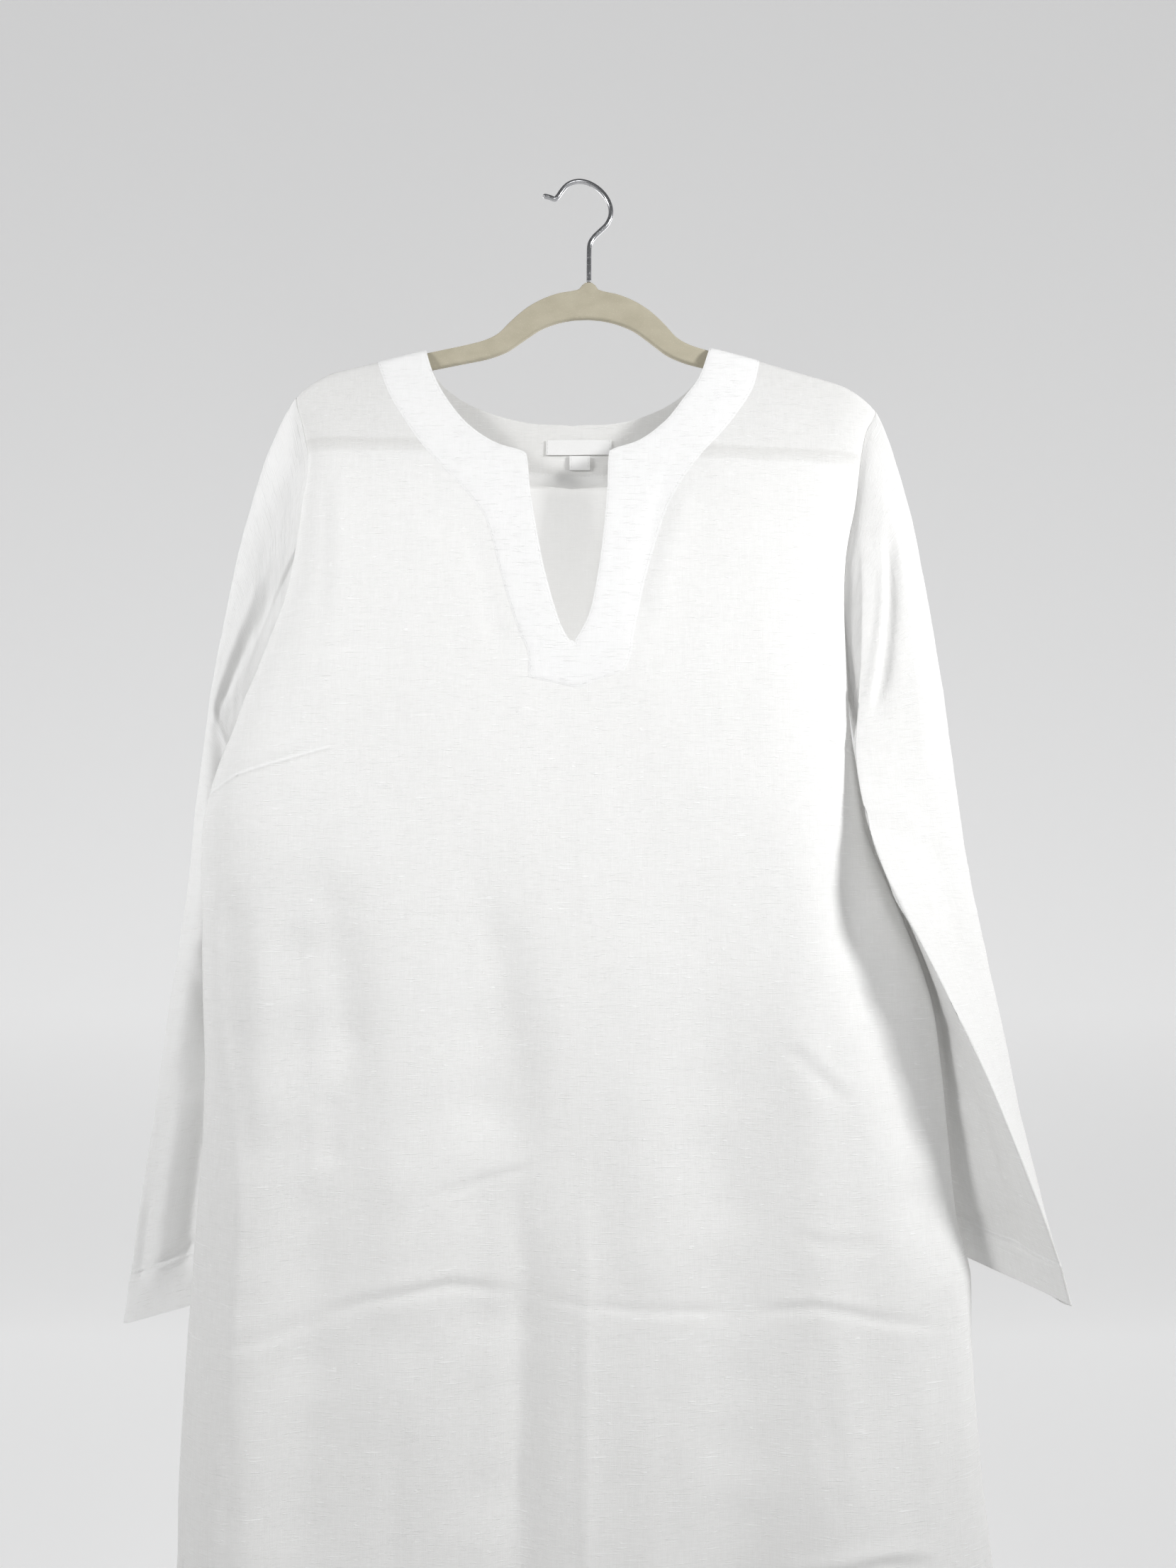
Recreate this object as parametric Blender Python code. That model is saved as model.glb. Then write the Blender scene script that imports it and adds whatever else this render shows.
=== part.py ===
"""A long linen kaftan dress, hung by its shoulders on a flocked hanger.

Metres, +Z up. The origin is the top of the hook's inside, where a nail or a rail carries it.
The dress faces -Y, so a wall would stand behind it at +Y. Left and right are the viewer's,
and side is -1 for left and 1 for right.
"""
import bpy
import math
from mathutils import Vector
from mathutils.bvhtree import BVHTree

# Cloth
WALL = 0.0014
HEM_WALL = 0.0020
BAND_WALL = 0.0010
FACING_WALL = 0.0010
FACING_HEM_WALL = 0.0016
LABEL_WALL = 0.0006
GAP = 0.0003
HALF_GAP = GAP / 2
HEM_Z = -1.490
HEM_DEPTH = 0.030

# Hanger, symmetrical about its stem and turned a little on the nail. Its hook's tip is
# rounded in rings of these shares of the wire's radius.
TILT = math.radians(1.4)
STEM_X = 0.0092
ARM_HALF = 0.0027
ARM_ROUND = 0.0022
WIRE_RADIUS = 0.0019
WIRE_SIDES = 12
HOOK_FOOT = -0.0823
HOOK_TIP = (0.25, 0.75, 1.0)
ARM_ROUND_LIMIT = 2.2

# How far the cloth stands off the hanger's middle plane just below the shoulder line
SHOULDER_FRONT = 0.0060
SHOULDER_BACK = 0.0077
SHOULDER_DROP = 0.0070

# How wide the cloth rolls at its side folds: near the shoulder, added lower down, and the
# height and length over which it grows
ROLL_WIDTH = 0.030
ROLL_GROWTH = 0.045
ROLL_GROWTH_Z = -0.20
ROLL_GROWTH_LENGTH = 0.20

# Hanger profile. Columns: distance from the stem, top edge, bottom edge
HANGER = (
    (0.000, -0.0824, -0.1123),
    (0.004, -0.0828, -0.1125),
    (0.0065, -0.0872, -0.1127),
    (0.012, -0.0893, -0.1132),
    (0.024, -0.0918, -0.1160),
    (0.036, -0.0966, -0.1210),
    (0.046, -0.1025, -0.1279),
    (0.054, -0.1090, -0.1340),
    (0.062, -0.1170, -0.1398),
    (0.070, -0.1256, -0.1436),
    (0.080, -0.1312, -0.1470),
    (0.095, -0.1358, -0.1505),
    (0.126, -0.1435, -0.1578),
    (0.160, -0.1530, -0.1672),
    (0.187, -0.1604, -0.1745),
    (0.199, -0.1640, -0.1780),
    (0.2045, -0.1669, -0.1790),
    (0.208, -0.1706, -0.1778),
)

# Shoulder line of the cloth, over the hanger and past its end: distance from the stem, height
SHOULDER_COLUMNS = ("reach", "z")
SHOULDER = (
    (0.080, -0.1290),
    (0.095, -0.1336),
    (0.126, -0.1413),
    (0.160, -0.1508),
    (0.187, -0.1582),
    (0.199, -0.1618),
    (0.210, -0.1676),
    (0.219, -0.1745),
    (0.226, -0.1815),
)
NECK_REACH = {-1: 0.126, 1: 0.097}
TIP_REACH = 0.226

# Outline of the body: where its left and right folds lie at each height
BODY_COLUMNS = ("z", "left", "right")
BODY = (
    (-1.490, -0.3110, 0.3210),
    (-1.200, -0.2955, 0.3050),
    (-1.043, -0.2880, 0.2967),
    (-0.984, -0.2885, 0.2910),
    (-0.890, -0.2855, 0.2860),
    (-0.840, -0.2830, 0.2866),
    (-0.800, -0.2812, 0.2776),
    (-0.740, -0.2782, 0.2727),
    (-0.695, -0.2783, 0.2693),
    (-0.640, -0.2812, 0.2625),
    (-0.584, -0.2838, 0.2440),
    (-0.519, -0.2858, 0.2175),
    (-0.485, -0.2800, 0.2132),
    (-0.443, -0.2667, 0.2073),
    (-0.415, -0.2560, 0.2054),
    (-0.376, -0.2410, 0.2032),
    (-0.336, -0.2267, 0.2027),
    (-0.300, -0.2195, 0.2055),
    (-0.264, -0.2146, 0.2130),
    (-0.229, -0.2105, 0.2178),
    (-0.205, -0.2145, 0.2230),
    (-0.189, -0.2185, 0.2305),
    (-0.1765, -0.2210, 0.2350),
)

# How far the front wraps round each fold, how far the back stops short of it, and half the
# opening between the two edges, which is an armhole above and a side slit below. A wrap
# smaller than the least one leaves the seam in the fold.
LEAST_WRAP = 0.001
EDGE_COLUMNS = ("z", "front_wrap", "back_short", "spread")
EDGES = {
    -1: (
        (-1.4900, 0.000, 0.0000, 0.0080),
        (-1.2000, 0.000, 0.0000, 0.0040),
        (-1.0420, 0.000, 0.0000, 0.0010),
        (-1.0300, 0.000, 0.0000, 0.0002),
        (-0.9600, 0.000, 0.0000, 0.0002),
        (-0.8950, 0.003, 0.0003, 0.0000),
        (-0.7000, 0.012, 0.0003, 0.0000),
        (-0.4370, 0.025, 0.0003, 0.0000),
        (-0.4300, 0.024, 0.0110, 0.0000),
        (-0.3780, 0.012, 0.0190, 0.0000),
        (-0.3360, 0.003, 0.0240, 0.0000),
        (-0.3000, 0.000, 0.0210, 0.0015),
        (-0.2480, 0.000, 0.0080, 0.0034),
        (-0.2050, 0.000, 0.0010, 0.0036),
        (-0.1850, 0.000, 0.0000, 0.0032),
        (-0.1774, 0.000, 0.0000, 0.0026),
        (-0.1762, 0.000, 0.0000, 0.0002),
    ),
    1: (
        (-1.4900, 0.000, 0.0000, 0.0080),
        (-1.2000, 0.000, 0.0000, 0.0040),
        (-1.0420, 0.000, 0.0000, 0.0010),
        (-1.0300, 0.000, 0.0000, 0.0002),
        (-0.4150, 0.000, 0.0000, 0.0002),
        (-0.4080, 0.000, 0.0000, 0.0030),
        (-0.3700, 0.000, 0.0000, 0.0050),
        (-0.3000, 0.000, 0.0000, 0.0055),
        (-0.2400, 0.000, 0.0000, 0.0045),
        (-0.2130, 0.000, 0.0000, 0.0038),
        (-0.1960, 0.000, 0.0000, 0.0032),
        (-0.1884, 0.000, 0.0000, 0.0026),
        (-0.1872, 0.000, 0.0000, 0.0002),
    ),
}

# How far the panels swell out as they hang: drop below the shoulder line, front, back
SWELL_COLUMNS = ("drop", "front", "back")
SWELL = (
    (0.000, 0.0000, 0.0000),
    (0.050, 0.0070, 0.0004),
    (0.120, 0.0150, 0.0008),
    (0.250, 0.0230, 0.0015),
    (0.500, 0.0280, 0.0022),
    (0.900, 0.0310, 0.0030),
    (1.400, 0.0340, 0.0040),
)

# Front rows from the shoulder to the underarm. Each gives the height at the side edge and
# the places of the band's outer edge and of the neck or slit edge.
FRONT_COLUMNS = ("side_z", "band_x", "band_z", "neck_x", "neck_z")
FRONT_TOP = {
    -1: (
        (-0.1762, -0.1585, -0.1481, -0.1205, -0.1385),
        (-0.2050, -0.1474, -0.1776, -0.1137, -0.1602),
        (-0.2280, -0.1346, -0.1996, -0.1033, -0.1807),
        (-0.2480, -0.1200, -0.2210, -0.0864, -0.2027),
        (-0.2630, -0.1030, -0.2400, -0.0650, -0.2185),
        (-0.2760, -0.0860, -0.2590, -0.0430, -0.2262),
        (-0.2870, -0.0730, -0.2760, -0.0397, -0.2330),
        (-0.3000, -0.0665, -0.2940, -0.0376, -0.2560),
        (-0.3180, -0.0600, -0.3190, -0.0326, -0.2870),
        (-0.3360, -0.0530, -0.3440, -0.0260, -0.3210),
        (-0.3520, -0.0450, -0.3680, -0.0155, -0.3580),
        (-0.3660, -0.0395, -0.3800, -0.0080, -0.3735),
        (-0.3780, -0.0378, -0.3880, -0.0035, -0.3768),
        (-0.3920, -0.0378, -0.3960, -0.0025, -0.3940),
        (-0.4060, -0.0380, -0.4030, -0.0010, -0.4110),
        (-0.4215, -0.0385, -0.4220, -0.0007, -0.4270),
        (-0.4370, -0.0390, -0.4400, -0.0004, -0.4440),
    ),
    1: (
        (-0.1872, 0.1410, -0.1473, 0.1020, -0.1367),
        (-0.2130, 0.1345, -0.1720, 0.0930, -0.1630),
        (-0.2340, 0.1225, -0.1925, 0.0815, -0.1800),
        (-0.2520, 0.1090, -0.2105, 0.0665, -0.2000),
        (-0.2660, 0.0950, -0.2260, 0.0465, -0.2162),
        (-0.2780, 0.0810, -0.2450, 0.0260, -0.2238),
        (-0.2880, 0.0700, -0.2640, 0.0222, -0.2300),
        (-0.3000, 0.0625, -0.2830, 0.0212, -0.2560),
        (-0.3160, 0.0555, -0.3060, 0.0187, -0.2860),
        (-0.3330, 0.0490, -0.3300, 0.0150, -0.3160),
        (-0.3490, 0.0435, -0.3560, 0.0085, -0.3510),
        (-0.3630, 0.0405, -0.3720, 0.0010, -0.3680),
        (-0.3770, 0.0395, -0.3820, -0.0035, -0.3768),
        (-0.3920, 0.0375, -0.3900, -0.0025, -0.3940),
        (-0.4080, 0.0342, -0.3977, -0.0010, -0.4110),
        (-0.4150, 0.0350, -0.4190, -0.0007, -0.4270),
        (-0.4340, 0.0360, -0.4400, -0.0004, -0.4440),
    ),
}
SLIT_END_ROW = 12
BAND_END_ROW = 14
FRONT_UNDERARM_ROW = {-1: 16, 1: 15}

# Back rows from the shoulder to the underarm, each with its side height and neck edge
BACK_COLUMNS = ("side_z", "neck_x", "neck_z")
BACK_TOP = {
    -1: (
        (-0.1762, -0.1205, -0.1385),
        (-0.1850, -0.1125, -0.1590),
        (-0.1910, -0.0935, -0.1755),
        (-0.1970, -0.0675, -0.1875),
        (-0.2020, -0.0370, -0.1950),
        (-0.2070, -0.0060, -0.1970),
        (-0.2160, -0.0058, -0.2375),
        (-0.2260, -0.0056, -0.2475),
        (-0.2700, -0.0050, -0.2800),
        (-0.3250, -0.0040, -0.3270),
        (-0.3800, -0.0030, -0.3800),
        (-0.4300, -0.0012, -0.4250),
        (-0.4370, -0.0010, -0.4370),
    ),
    1: (
        (-0.1872, 0.1020, -0.1367),
        (-0.1950, 0.0915, -0.1610),
        (-0.2000, 0.0725, -0.1782),
        (-0.2060, 0.0475, -0.1900),
        (-0.2110, 0.0230, -0.1952),
        (-0.2160, -0.0060, -0.1970),
        (-0.2235, -0.0058, -0.2375),
        (-0.2335, -0.0056, -0.2475),
        (-0.2700, -0.0050, -0.2800),
        (-0.3200, -0.0040, -0.3270),
        (-0.3700, -0.0030, -0.3800),
        (-0.4080, -0.0012, -0.4250),
        (-0.4150, -0.0010, -0.4370),
    ),
}
BACK_NECK_ROW = 5
BACK_UNDERARM_ROW = 12

# Facing inside the back: the rows it starts at, hems at and ends at, and how many columns it
# stops short of each armhole
FACING_START_NUMBER = 0.28
FACING_HEM_ROW = 6
FACING_END_ROW = 7
FACING_EDGE_COLUMNS = 3

# Rows below the underarm, shared by front and back
LOWER_ROWS = (
    -0.470, -0.519, -0.575, -0.635, -0.700, -0.765, -0.830, -0.895, -0.960,
    -1.030, -1.042, -1.120, -1.200, -1.290, -1.380, HEM_Z + HEM_DEPTH, HEM_Z,
)
CENTRE_X = -0.0004
CREASE_X = 0.0047
CREASE_START = -0.737

# Rows near the shoulder as parts of a row, and columns as shares of a row's width
ROLL_ROWS = (0.0, 0.03, 0.11, 0.28, 0.6)
SIDE_SHARES = (0.0, 0.007, 0.020, 0.045, 0.10, 0.19, 0.31, 0.45, 0.62, 0.81, 1.0)
WRAP_SHARES = (1.0, 0.55, 0.20, 0.04)
BAND_SHARES = (0.34, 0.67, 1.0)

# Rows over which a row's arch along the shoulder line fades, and how the columns below the
# band draw apart on their way down
ARCH_ROWS = 4.0
BAND_FLARE = 0.6

# Largest folds. Columns: start x, start z, end x, end z, half width, height (minus is a
# trough). Each fades in and out over a short length.
FOLD_FADE = 0.10
FRONT_FOLDS = (
    (0.0047, -0.760, 0.0047, -1.600, 0.022, 0.0026),
    (-0.073, -0.560, -0.036, -0.800, 0.022, -0.0045),
    (-0.036, -0.760, -0.044, -1.600, 0.020, -0.0060),
    (-0.258, -0.540, -0.236, -0.800, 0.016, -0.0030),
    (-0.180, -0.560, -0.160, -0.800, 0.020, -0.0045),
    (-0.225, -0.640, -0.215, -1.600, 0.030, 0.0040),
    (-0.130, -0.900, -0.135, -1.600, 0.028, -0.0045),
    (0.110, -0.960, 0.125, -1.600, 0.034, -0.0050),
    (0.205, -0.900, 0.215, -1.600, 0.030, 0.0040),
)
BACK_FOLDS = (
    (-0.105, -0.420, -0.090, -1.600, 0.035, 0.0030),
    (0.020, -0.520, 0.030, -1.600, 0.030, -0.0030),
    (0.120, -0.480, 0.130, -1.600, 0.035, 0.0032),
)

# Sleeves, from the bicep to the cuff. Columns: outer, ridge, corner, inner, each as x, y, z.
# Outer is the fold at the arm's outside, ridge a crease turned to the front, corner where the
# ply turns in behind the body, and inner the fold there.
SLEEVES = {
    -1: (
        ((-0.2880, 0.0180, -0.405), (-0.277, 0.0175, -0.428), (-0.268, 0.0168, -0.446),
         (-0.248, 0.0165, -0.454)),
        ((-0.2932, 0.0185, -0.452), (-0.270, 0.0175, -0.470), (-0.250, 0.0178, -0.482),
         (-0.230, 0.0180, -0.487)),
        ((-0.2980, 0.0195, -0.506), (-0.262, 0.0180, -0.515), (-0.230, 0.0188, -0.521),
         (-0.203, 0.0195, -0.523)),
        ((-0.3030, 0.0200, -0.561), (-0.257, 0.0185, -0.562), (-0.217, 0.0195, -0.562),
         (-0.180, 0.0205, -0.561)),
        ((-0.3090, 0.0205, -0.612), (-0.262, 0.0185, -0.608), (-0.216, 0.0198, -0.604),
         (-0.171, 0.0210, -0.600)),
        ((-0.3160, 0.0210, -0.662), (-0.270, 0.0180, -0.655), (-0.222, 0.0195, -0.650),
         (-0.175, 0.0210, -0.644)),
        ((-0.3210, 0.0215, -0.708), (-0.276, 0.0185, -0.699), (-0.228, 0.0200, -0.692),
         (-0.180, 0.0215, -0.686)),
        ((-0.3275, 0.0220, -0.757), (-0.282, 0.0190, -0.747), (-0.234, 0.0200, -0.738),
         (-0.187, 0.0215, -0.728)),
        ((-0.3335, 0.0225, -0.806), (-0.289, 0.0190, -0.794), (-0.242, 0.0205, -0.782),
         (-0.196, 0.0220, -0.770)),
        ((-0.3380, 0.0230, -0.843), (-0.294, 0.0190, -0.830), (-0.248, 0.0205, -0.818),
         (-0.203, 0.0220, -0.806)),
        ((-0.3395, 0.0230, -0.856), (-0.296, 0.0190, -0.843), (-0.251, 0.0208, -0.831),
         (-0.206, 0.0225, -0.819)),
        ((-0.3426, 0.0235, -0.884), (-0.299, 0.0195, -0.871), (-0.255, 0.0210, -0.859),
         (-0.211, 0.0225, -0.847)),
    ),
    1: (
        ((0.2835, 0.0120, -0.410), (0.2090, -0.030, -0.428), (0.2130, -0.010, -0.438),
         (0.2115, 0.0070, -0.447)),
        ((0.2890, 0.0140, -0.456), (0.2050, -0.034, -0.463), (0.2160, 0.003, -0.470),
         (0.2105, 0.0140, -0.477)),
        ((0.2950, 0.0160, -0.508), (0.2100, -0.038, -0.512), (0.2225, 0.0115, -0.514),
         (0.2060, 0.0210, -0.516)),
        ((0.3030, 0.0180, -0.557), (0.2230, -0.042, -0.558), (0.2390, 0.0125, -0.558),
         (0.2100, 0.0220, -0.558)),
        ((0.3120, 0.0200, -0.604), (0.2450, -0.044, -0.602), (0.2560, 0.0125, -0.601),
         (0.2160, 0.0225, -0.600)),
        ((0.3210, 0.0210, -0.650), (0.2670, -0.045, -0.648), (0.2690, 0.0125, -0.645),
         (0.2210, 0.0225, -0.642)),
        ((0.3300, 0.0230, -0.698), (0.2880, -0.045, -0.693), (0.2735, 0.0125, -0.688),
         (0.2250, 0.0230, -0.682)),
        ((0.3400, 0.0250, -0.746), (0.3070, -0.044, -0.740), (0.2775, 0.0125, -0.731),
         (0.2320, 0.0230, -0.722)),
        ((0.3500, 0.0270, -0.792), (0.3240, -0.042, -0.784), (0.2810, 0.0130, -0.771),
         (0.2380, 0.0230, -0.758)),
        ((0.3575, 0.0280, -0.830), (0.3370, -0.039, -0.820), (0.2900, 0.0130, -0.804),
         (0.2440, 0.0235, -0.788)),
        ((0.3595, 0.0285, -0.842), (0.3400, -0.038, -0.830), (0.2920, 0.0130, -0.813),
         (0.2460, 0.0235, -0.796)),
        ((0.3640, 0.0295, -0.870), (0.3455, -0.035, -0.850), (0.2940, 0.0130, -0.834),
         (0.2500, 0.0240, -0.818)),
    ),
}
CUFF_HEM_STATION = 10
RIDGE_SHARE = 0.36
CORNER_SHARE = 0.68
HALF_PLY = 0.0050
PLY_ROUND = 0.12

# Sleeve cap: where its rings lie between the armhole and the bicep, how fast they turn to the
# bicep's depth, how far the cap bulges outward, how far round and how early along
CAP_BLENDS = (0.05, 0.15, 0.32, 0.54, 0.77)
CAP_TURN = 2.5
CAP_BULGE = {-1: 0.013, 1: 0.009}
CAP_BULGE_END = 0.7
CAP_BULGE_SKEW = 0.7

# Armhole seam: the rim's direction at the underarm, the step between the two pieces, the
# length over which it eases, and the panel rows that the sleeve is sewn to
UNDERARM_RIM = {-1: Vector((-0.7, -0.4, -0.8)), 1: Vector((0, 0, -1))}
SEAM_STEP = 0.0006
SEAM_EASE = 0.006
ARMHOLE_FRONT_ROLL_ROWS = (0, 2, 4)
ARMHOLE_BACK_NUMBERS = (0.28, 2, 5, 7, 8, 9, 10, 11)

# Hook centreline: x, z
HOOK = (
    (-0.0276, -0.0106), (-0.0242, -0.0114), (-0.0199, -0.0129), (-0.0175, -0.0108),
    (-0.0148, -0.0066), (-0.0109, -0.0019), (-0.0064, 0.0008), (-0.0006, 0.0019),
    (0.0059, 0.0008), (0.0124, -0.0026), (0.0175, -0.0070), (0.0214, -0.0123),
    (0.0240, -0.0185), (0.0247, -0.0240), (0.0237, -0.0295), (0.0208, -0.0348),
    (0.0162, -0.0395), (0.0117, -0.0440), (0.0091, -0.0477), (0.0077, -0.0517),
    (0.0073, -0.0598), (0.0072, HOOK_FOOT),
)

# Labels. Columns: left, right, top and bottom edges
MAIN_LABEL = (-0.0265, 0.0250, -0.2088, -0.2208)
SIZE_LABEL = (-0.0080, 0.0080, -0.2214, -0.2330)
LABEL_COLUMNS = 6
LABEL_ROWS = 2

# Colours, roughness and metallic value
LINEN = (0.83, 0.82, 0.80, 1.0)
BAND_LINEN = (0.87, 0.87, 0.86, 1.0)
FACING_LINEN = (0.76, 0.75, 0.73, 1.0)
SATIN = (0.90, 0.90, 0.89, 1.0)
FLOCK = (0.56, 0.51, 0.40, 1.0)
CHROME = (0.62, 0.63, 0.65, 1.0)


def curve_at(keys, values, key):
    """A smooth curve through values at rising keys."""
    last = len(keys) - 1
    key = min(max(key, keys[0]), keys[last])
    i = 0
    while i < last - 1 and key > keys[i + 1]:
        i += 1
    low = max(i - 1, 0)
    high = min(i + 2, last)
    step = keys[i + 1] - keys[i]
    rise = values[i + 1] - values[i]
    limit = 3 * abs(rise / step)
    slope_a = (values[i + 1] - values[low]) / (keys[i + 1] - keys[low])
    slope_b = (values[high] - values[i]) / (keys[high] - keys[i])
    slope_a = max(min(slope_a, limit), -limit)
    slope_b = max(min(slope_b, limit), -limit)
    t = (key - keys[i]) / step
    ease = t * t * (3 - 2 * t)
    bend = slope_a * t * (1 - t) ** 2 - slope_b * t * t * (1 - t)
    return values[i] + rise * ease + step * bend


def table_at(table, names, name, key):
    """Read a named column of a table at a value of its first column."""
    keys = [row[0] for row in table]
    index = names.index(name)
    return curve_at(keys, [row[index] for row in table], key)


def row_at(table, names, name, number):
    """Read a named column of a table at a row number that may lie between rows."""
    index = names.index(name)
    return curve_at(range(len(table)), [row[index] for row in table], number)


def smooth(t):
    """Ease from 0 to 1."""
    t = min(max(t, 0.0), 1.0)
    return t * t * (3 - 2 * t)


def quarter_round(t):
    """Rise from 0 to 1 like a quarter of an ellipse."""
    t = min(max(t, 0.0), 1.0)
    return math.sqrt(1 - (1 - t) ** 2)


def tilted(x, z):
    """Turn a point of the straight hanger to where it hangs."""
    return (x * math.cos(TILT) + z * math.sin(TILT), z * math.cos(TILT) - x * math.sin(TILT))


def shoulder_point(side, reach):
    """A point of the cloth's shoulder line, x and z, at a distance from the stem."""
    z = table_at(SHOULDER, SHOULDER_COLUMNS, "z", reach)
    return tilted(STEM_X + side * reach, z)


def shoulder_height(x):
    """Height of the shoulder line above x. It runs level across the neck."""
    side = -1 if x < STEM_X else 1
    low = NECK_REACH[side]
    high = TIP_REACH
    for _ in range(30):
        middle = (low + high) / 2
        if side * shoulder_point(side, middle)[0] < side * x:
            low = middle
        else:
            high = middle
    return shoulder_point(side, low)[1]


def fold_x(side, z):
    """Where the body's left or right fold lies."""
    return table_at(BODY, BODY_COLUMNS, "left" if side < 0 else "right", z)


def edge_at(side, name, z):
    """How a side edge lies at a height."""
    return table_at(EDGES[side], EDGE_COLUMNS, name, z)


def fold_relief(folds, x, z):
    """Sum of the soft folds at a point of a panel, outward."""
    total = 0.0
    for x0, z0, x1, z1, half_width, height in folds:
        along = (z0 - z) / (z0 - z1)
        if 0 < along < 1:
            middle = x0 + (x1 - x0) * along
            fade = smooth((z0 - z) / FOLD_FADE) * smooth((z - z1) / FOLD_FADE)
            total += height * fade * math.exp(-((x - middle) / half_width) ** 2)
    return total


def body_point(x, z, behind, spread):
    """A point of the body's surface, on its front or, when behind is true, on its back."""
    drop = max(shoulder_height(x) - z, 0.0)
    stand = quarter_round(drop / SHOULDER_DROP)
    growth = smooth((ROLL_GROWTH_Z - z) / ROLL_GROWTH_LENGTH)
    roll = ROLL_WIDTH + ROLL_GROWTH * growth
    turn = quarter_round(min(x - fold_x(-1, z), fold_x(1, z) - x) / roll)
    if behind:
        depth = SHOULDER_BACK * stand + table_at(SWELL, SWELL_COLUMNS, "back", drop)
        depth += fold_relief(BACK_FOLDS, x, z)
        return Vector((x, spread + max(depth - spread, 0.0) * turn, z))
    depth = SHOULDER_FRONT * stand + table_at(SWELL, SWELL_COLUMNS, "front", drop)
    depth += fold_relief(FRONT_FOLDS, x, z)
    return Vector((x, -spread - max(depth - spread, 0.0) * turn, z))


def centre_x(z):
    """The middle line below the slit, which drifts to the pressed crease."""
    start = FRONT_TOP[1][-1][4]
    return CENTRE_X + (CREASE_X - CENTRE_X) * smooth((start - z) / (start - CREASE_START))


def spread_at(side, z):
    """Half the opening between front and back at a side edge. A sewn seam leaves half a gap."""
    if edge_at(side, "front_wrap", z) > LEAST_WRAP:
        return 0.0
    return max(edge_at(side, "spread", z), HALF_GAP)


def arch_lift(x, start_x, end_x, number):
    """How far the shoulder line arches over a straight row there. It fades down the rows."""
    share = (x - start_x) / (end_x - start_x)
    straight = shoulder_height(start_x) * (1 - share) + shoulder_height(end_x) * share
    return (shoulder_height(x) - straight) * (1 - smooth(number / ARCH_ROWS))


def mesh_numbers(table):
    """Row numbers of a panel's mesh, close together where it rolls over the shoulder."""
    return list(ROLL_ROWS) + [float(i) for i in range(1, len(table) + len(LOWER_ROWS))]


def row_start(side, number, table, names):
    """Side height of a row. The first row starts at the shoulder's tip."""
    if number == 0:
        tip = shoulder_point(side, TIP_REACH)
        return tip[0], tip[1]
    if number > len(table) - 1:
        z = LOWER_ROWS[int(round(number)) - len(table)]
    else:
        z = row_at(table, names, "side_z", number)
    return fold_x(side, z), z


def front_half_row(side, number):
    """One row of half the front, from the side edge past the band's edge to the neck edge."""
    table = FRONT_TOP[side]
    fold, side_z = row_start(side, number, table, FRONT_COLUMNS)
    if number > len(table) - 1:
        band = (table[-1][1] * (1 + BAND_FLARE * (table[-1][2] - side_z)), side_z)
        neck = (centre_x(side_z), side_z)
    else:
        band = (row_at(table, FRONT_COLUMNS, "band_x", number),
                row_at(table, FRONT_COLUMNS, "band_z", number))
        neck = (row_at(table, FRONT_COLUMNS, "neck_x", number),
                row_at(table, FRONT_COLUMNS, "neck_z", number))
    wrap = edge_at(side, "front_wrap", side_z)
    spread = spread_at(side, side_z)
    points = []
    for i, share in enumerate(SIDE_SHARES):
        back = wrap * WRAP_SHARES[i] if i < len(WRAP_SHARES) else 0.0
        inward = abs(band[0] - fold) * share - back
        x = fold - side * abs(inward)
        z = side_z + (band[1] - side_z) * share + arch_lift(x, fold, band[0], number)
        points.append(body_point(x, z, inward < 0, spread))
    for share in BAND_SHARES:
        x = band[0] + (neck[0] - band[0]) * share
        z = band[1] + (neck[1] - band[1]) * share + arch_lift(x, band[0], neck[0], number)
        points.append(body_point(x, z, False, HALF_GAP))
    return points


def back_half_row(side, number):
    """One row of half the back, from the side edge to the neck edge."""
    table = BACK_TOP[side]
    fold, side_z = row_start(side, number, table, BACK_COLUMNS)
    if number > len(table) - 1:
        neck = (centre_x(side_z), side_z)
    else:
        neck = (row_at(table, BACK_COLUMNS, "neck_x", number),
                row_at(table, BACK_COLUMNS, "neck_z", number))
    inset = edge_at(side, "front_wrap", side_z) + edge_at(side, "back_short", side_z)
    spread = spread_at(side, side_z)
    points = []
    for share in SIDE_SHARES:
        inward = inset + (abs(neck[0] - fold) - inset) * share
        x = fold - side * inward
        z = side_z + (neck[1] - side_z) * share + arch_lift(x, fold, neck[0], number)
        points.append(body_point(x, z, True, spread))
    return points


def material(name, colour, roughness, metallic):
    """A plain Principled material."""
    made = bpy.data.materials.new(name)
    made.use_nodes = True
    shader = made.node_tree.nodes["Principled BSDF"]
    shader.inputs["Base Color"].default_value = colour
    shader.inputs["Roughness"].default_value = roughness
    shader.inputs["Metallic"].default_value = metallic
    made.diffuse_color = colour
    return made


def add_object(name, points, faces, colour, roughness=0.9, metallic=0.0):
    """A mesh object with its own material."""
    mesh = bpy.data.meshes.new(name)
    mesh.from_pydata([tuple(p) for p in points], [], faces)
    mesh.materials.append(material(name, colour, roughness, metallic))
    mesh.update()
    made = bpy.data.objects.new(name, mesh)
    bpy.context.scene.collection.objects.link(made)
    return made


def triangles(quads):
    """Each quad as two triangles, always cut the same way."""
    cut = []
    for a, b, c, d in quads:
        cut.append((a, b, c))
        cut.append((a, c, d))
    return cut


def point_normals(points, faces):
    """Normals at the points of an open surface, each face weighed by its corner's angle."""
    normals = [Vector((0, 0, 0)) for _ in points]
    for face in faces:
        a, b, c = (points[index] for index in face)
        across = (b - a).cross(c - a).normalized()
        corners = ((a, b, c), (b, c, a), (c, a, b))
        for index, (here, ahead, behind) in zip(face, corners):
            normals[index] += across * (ahead - here).angle(behind - here)
    return [n.normalized() for n in normals]


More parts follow.
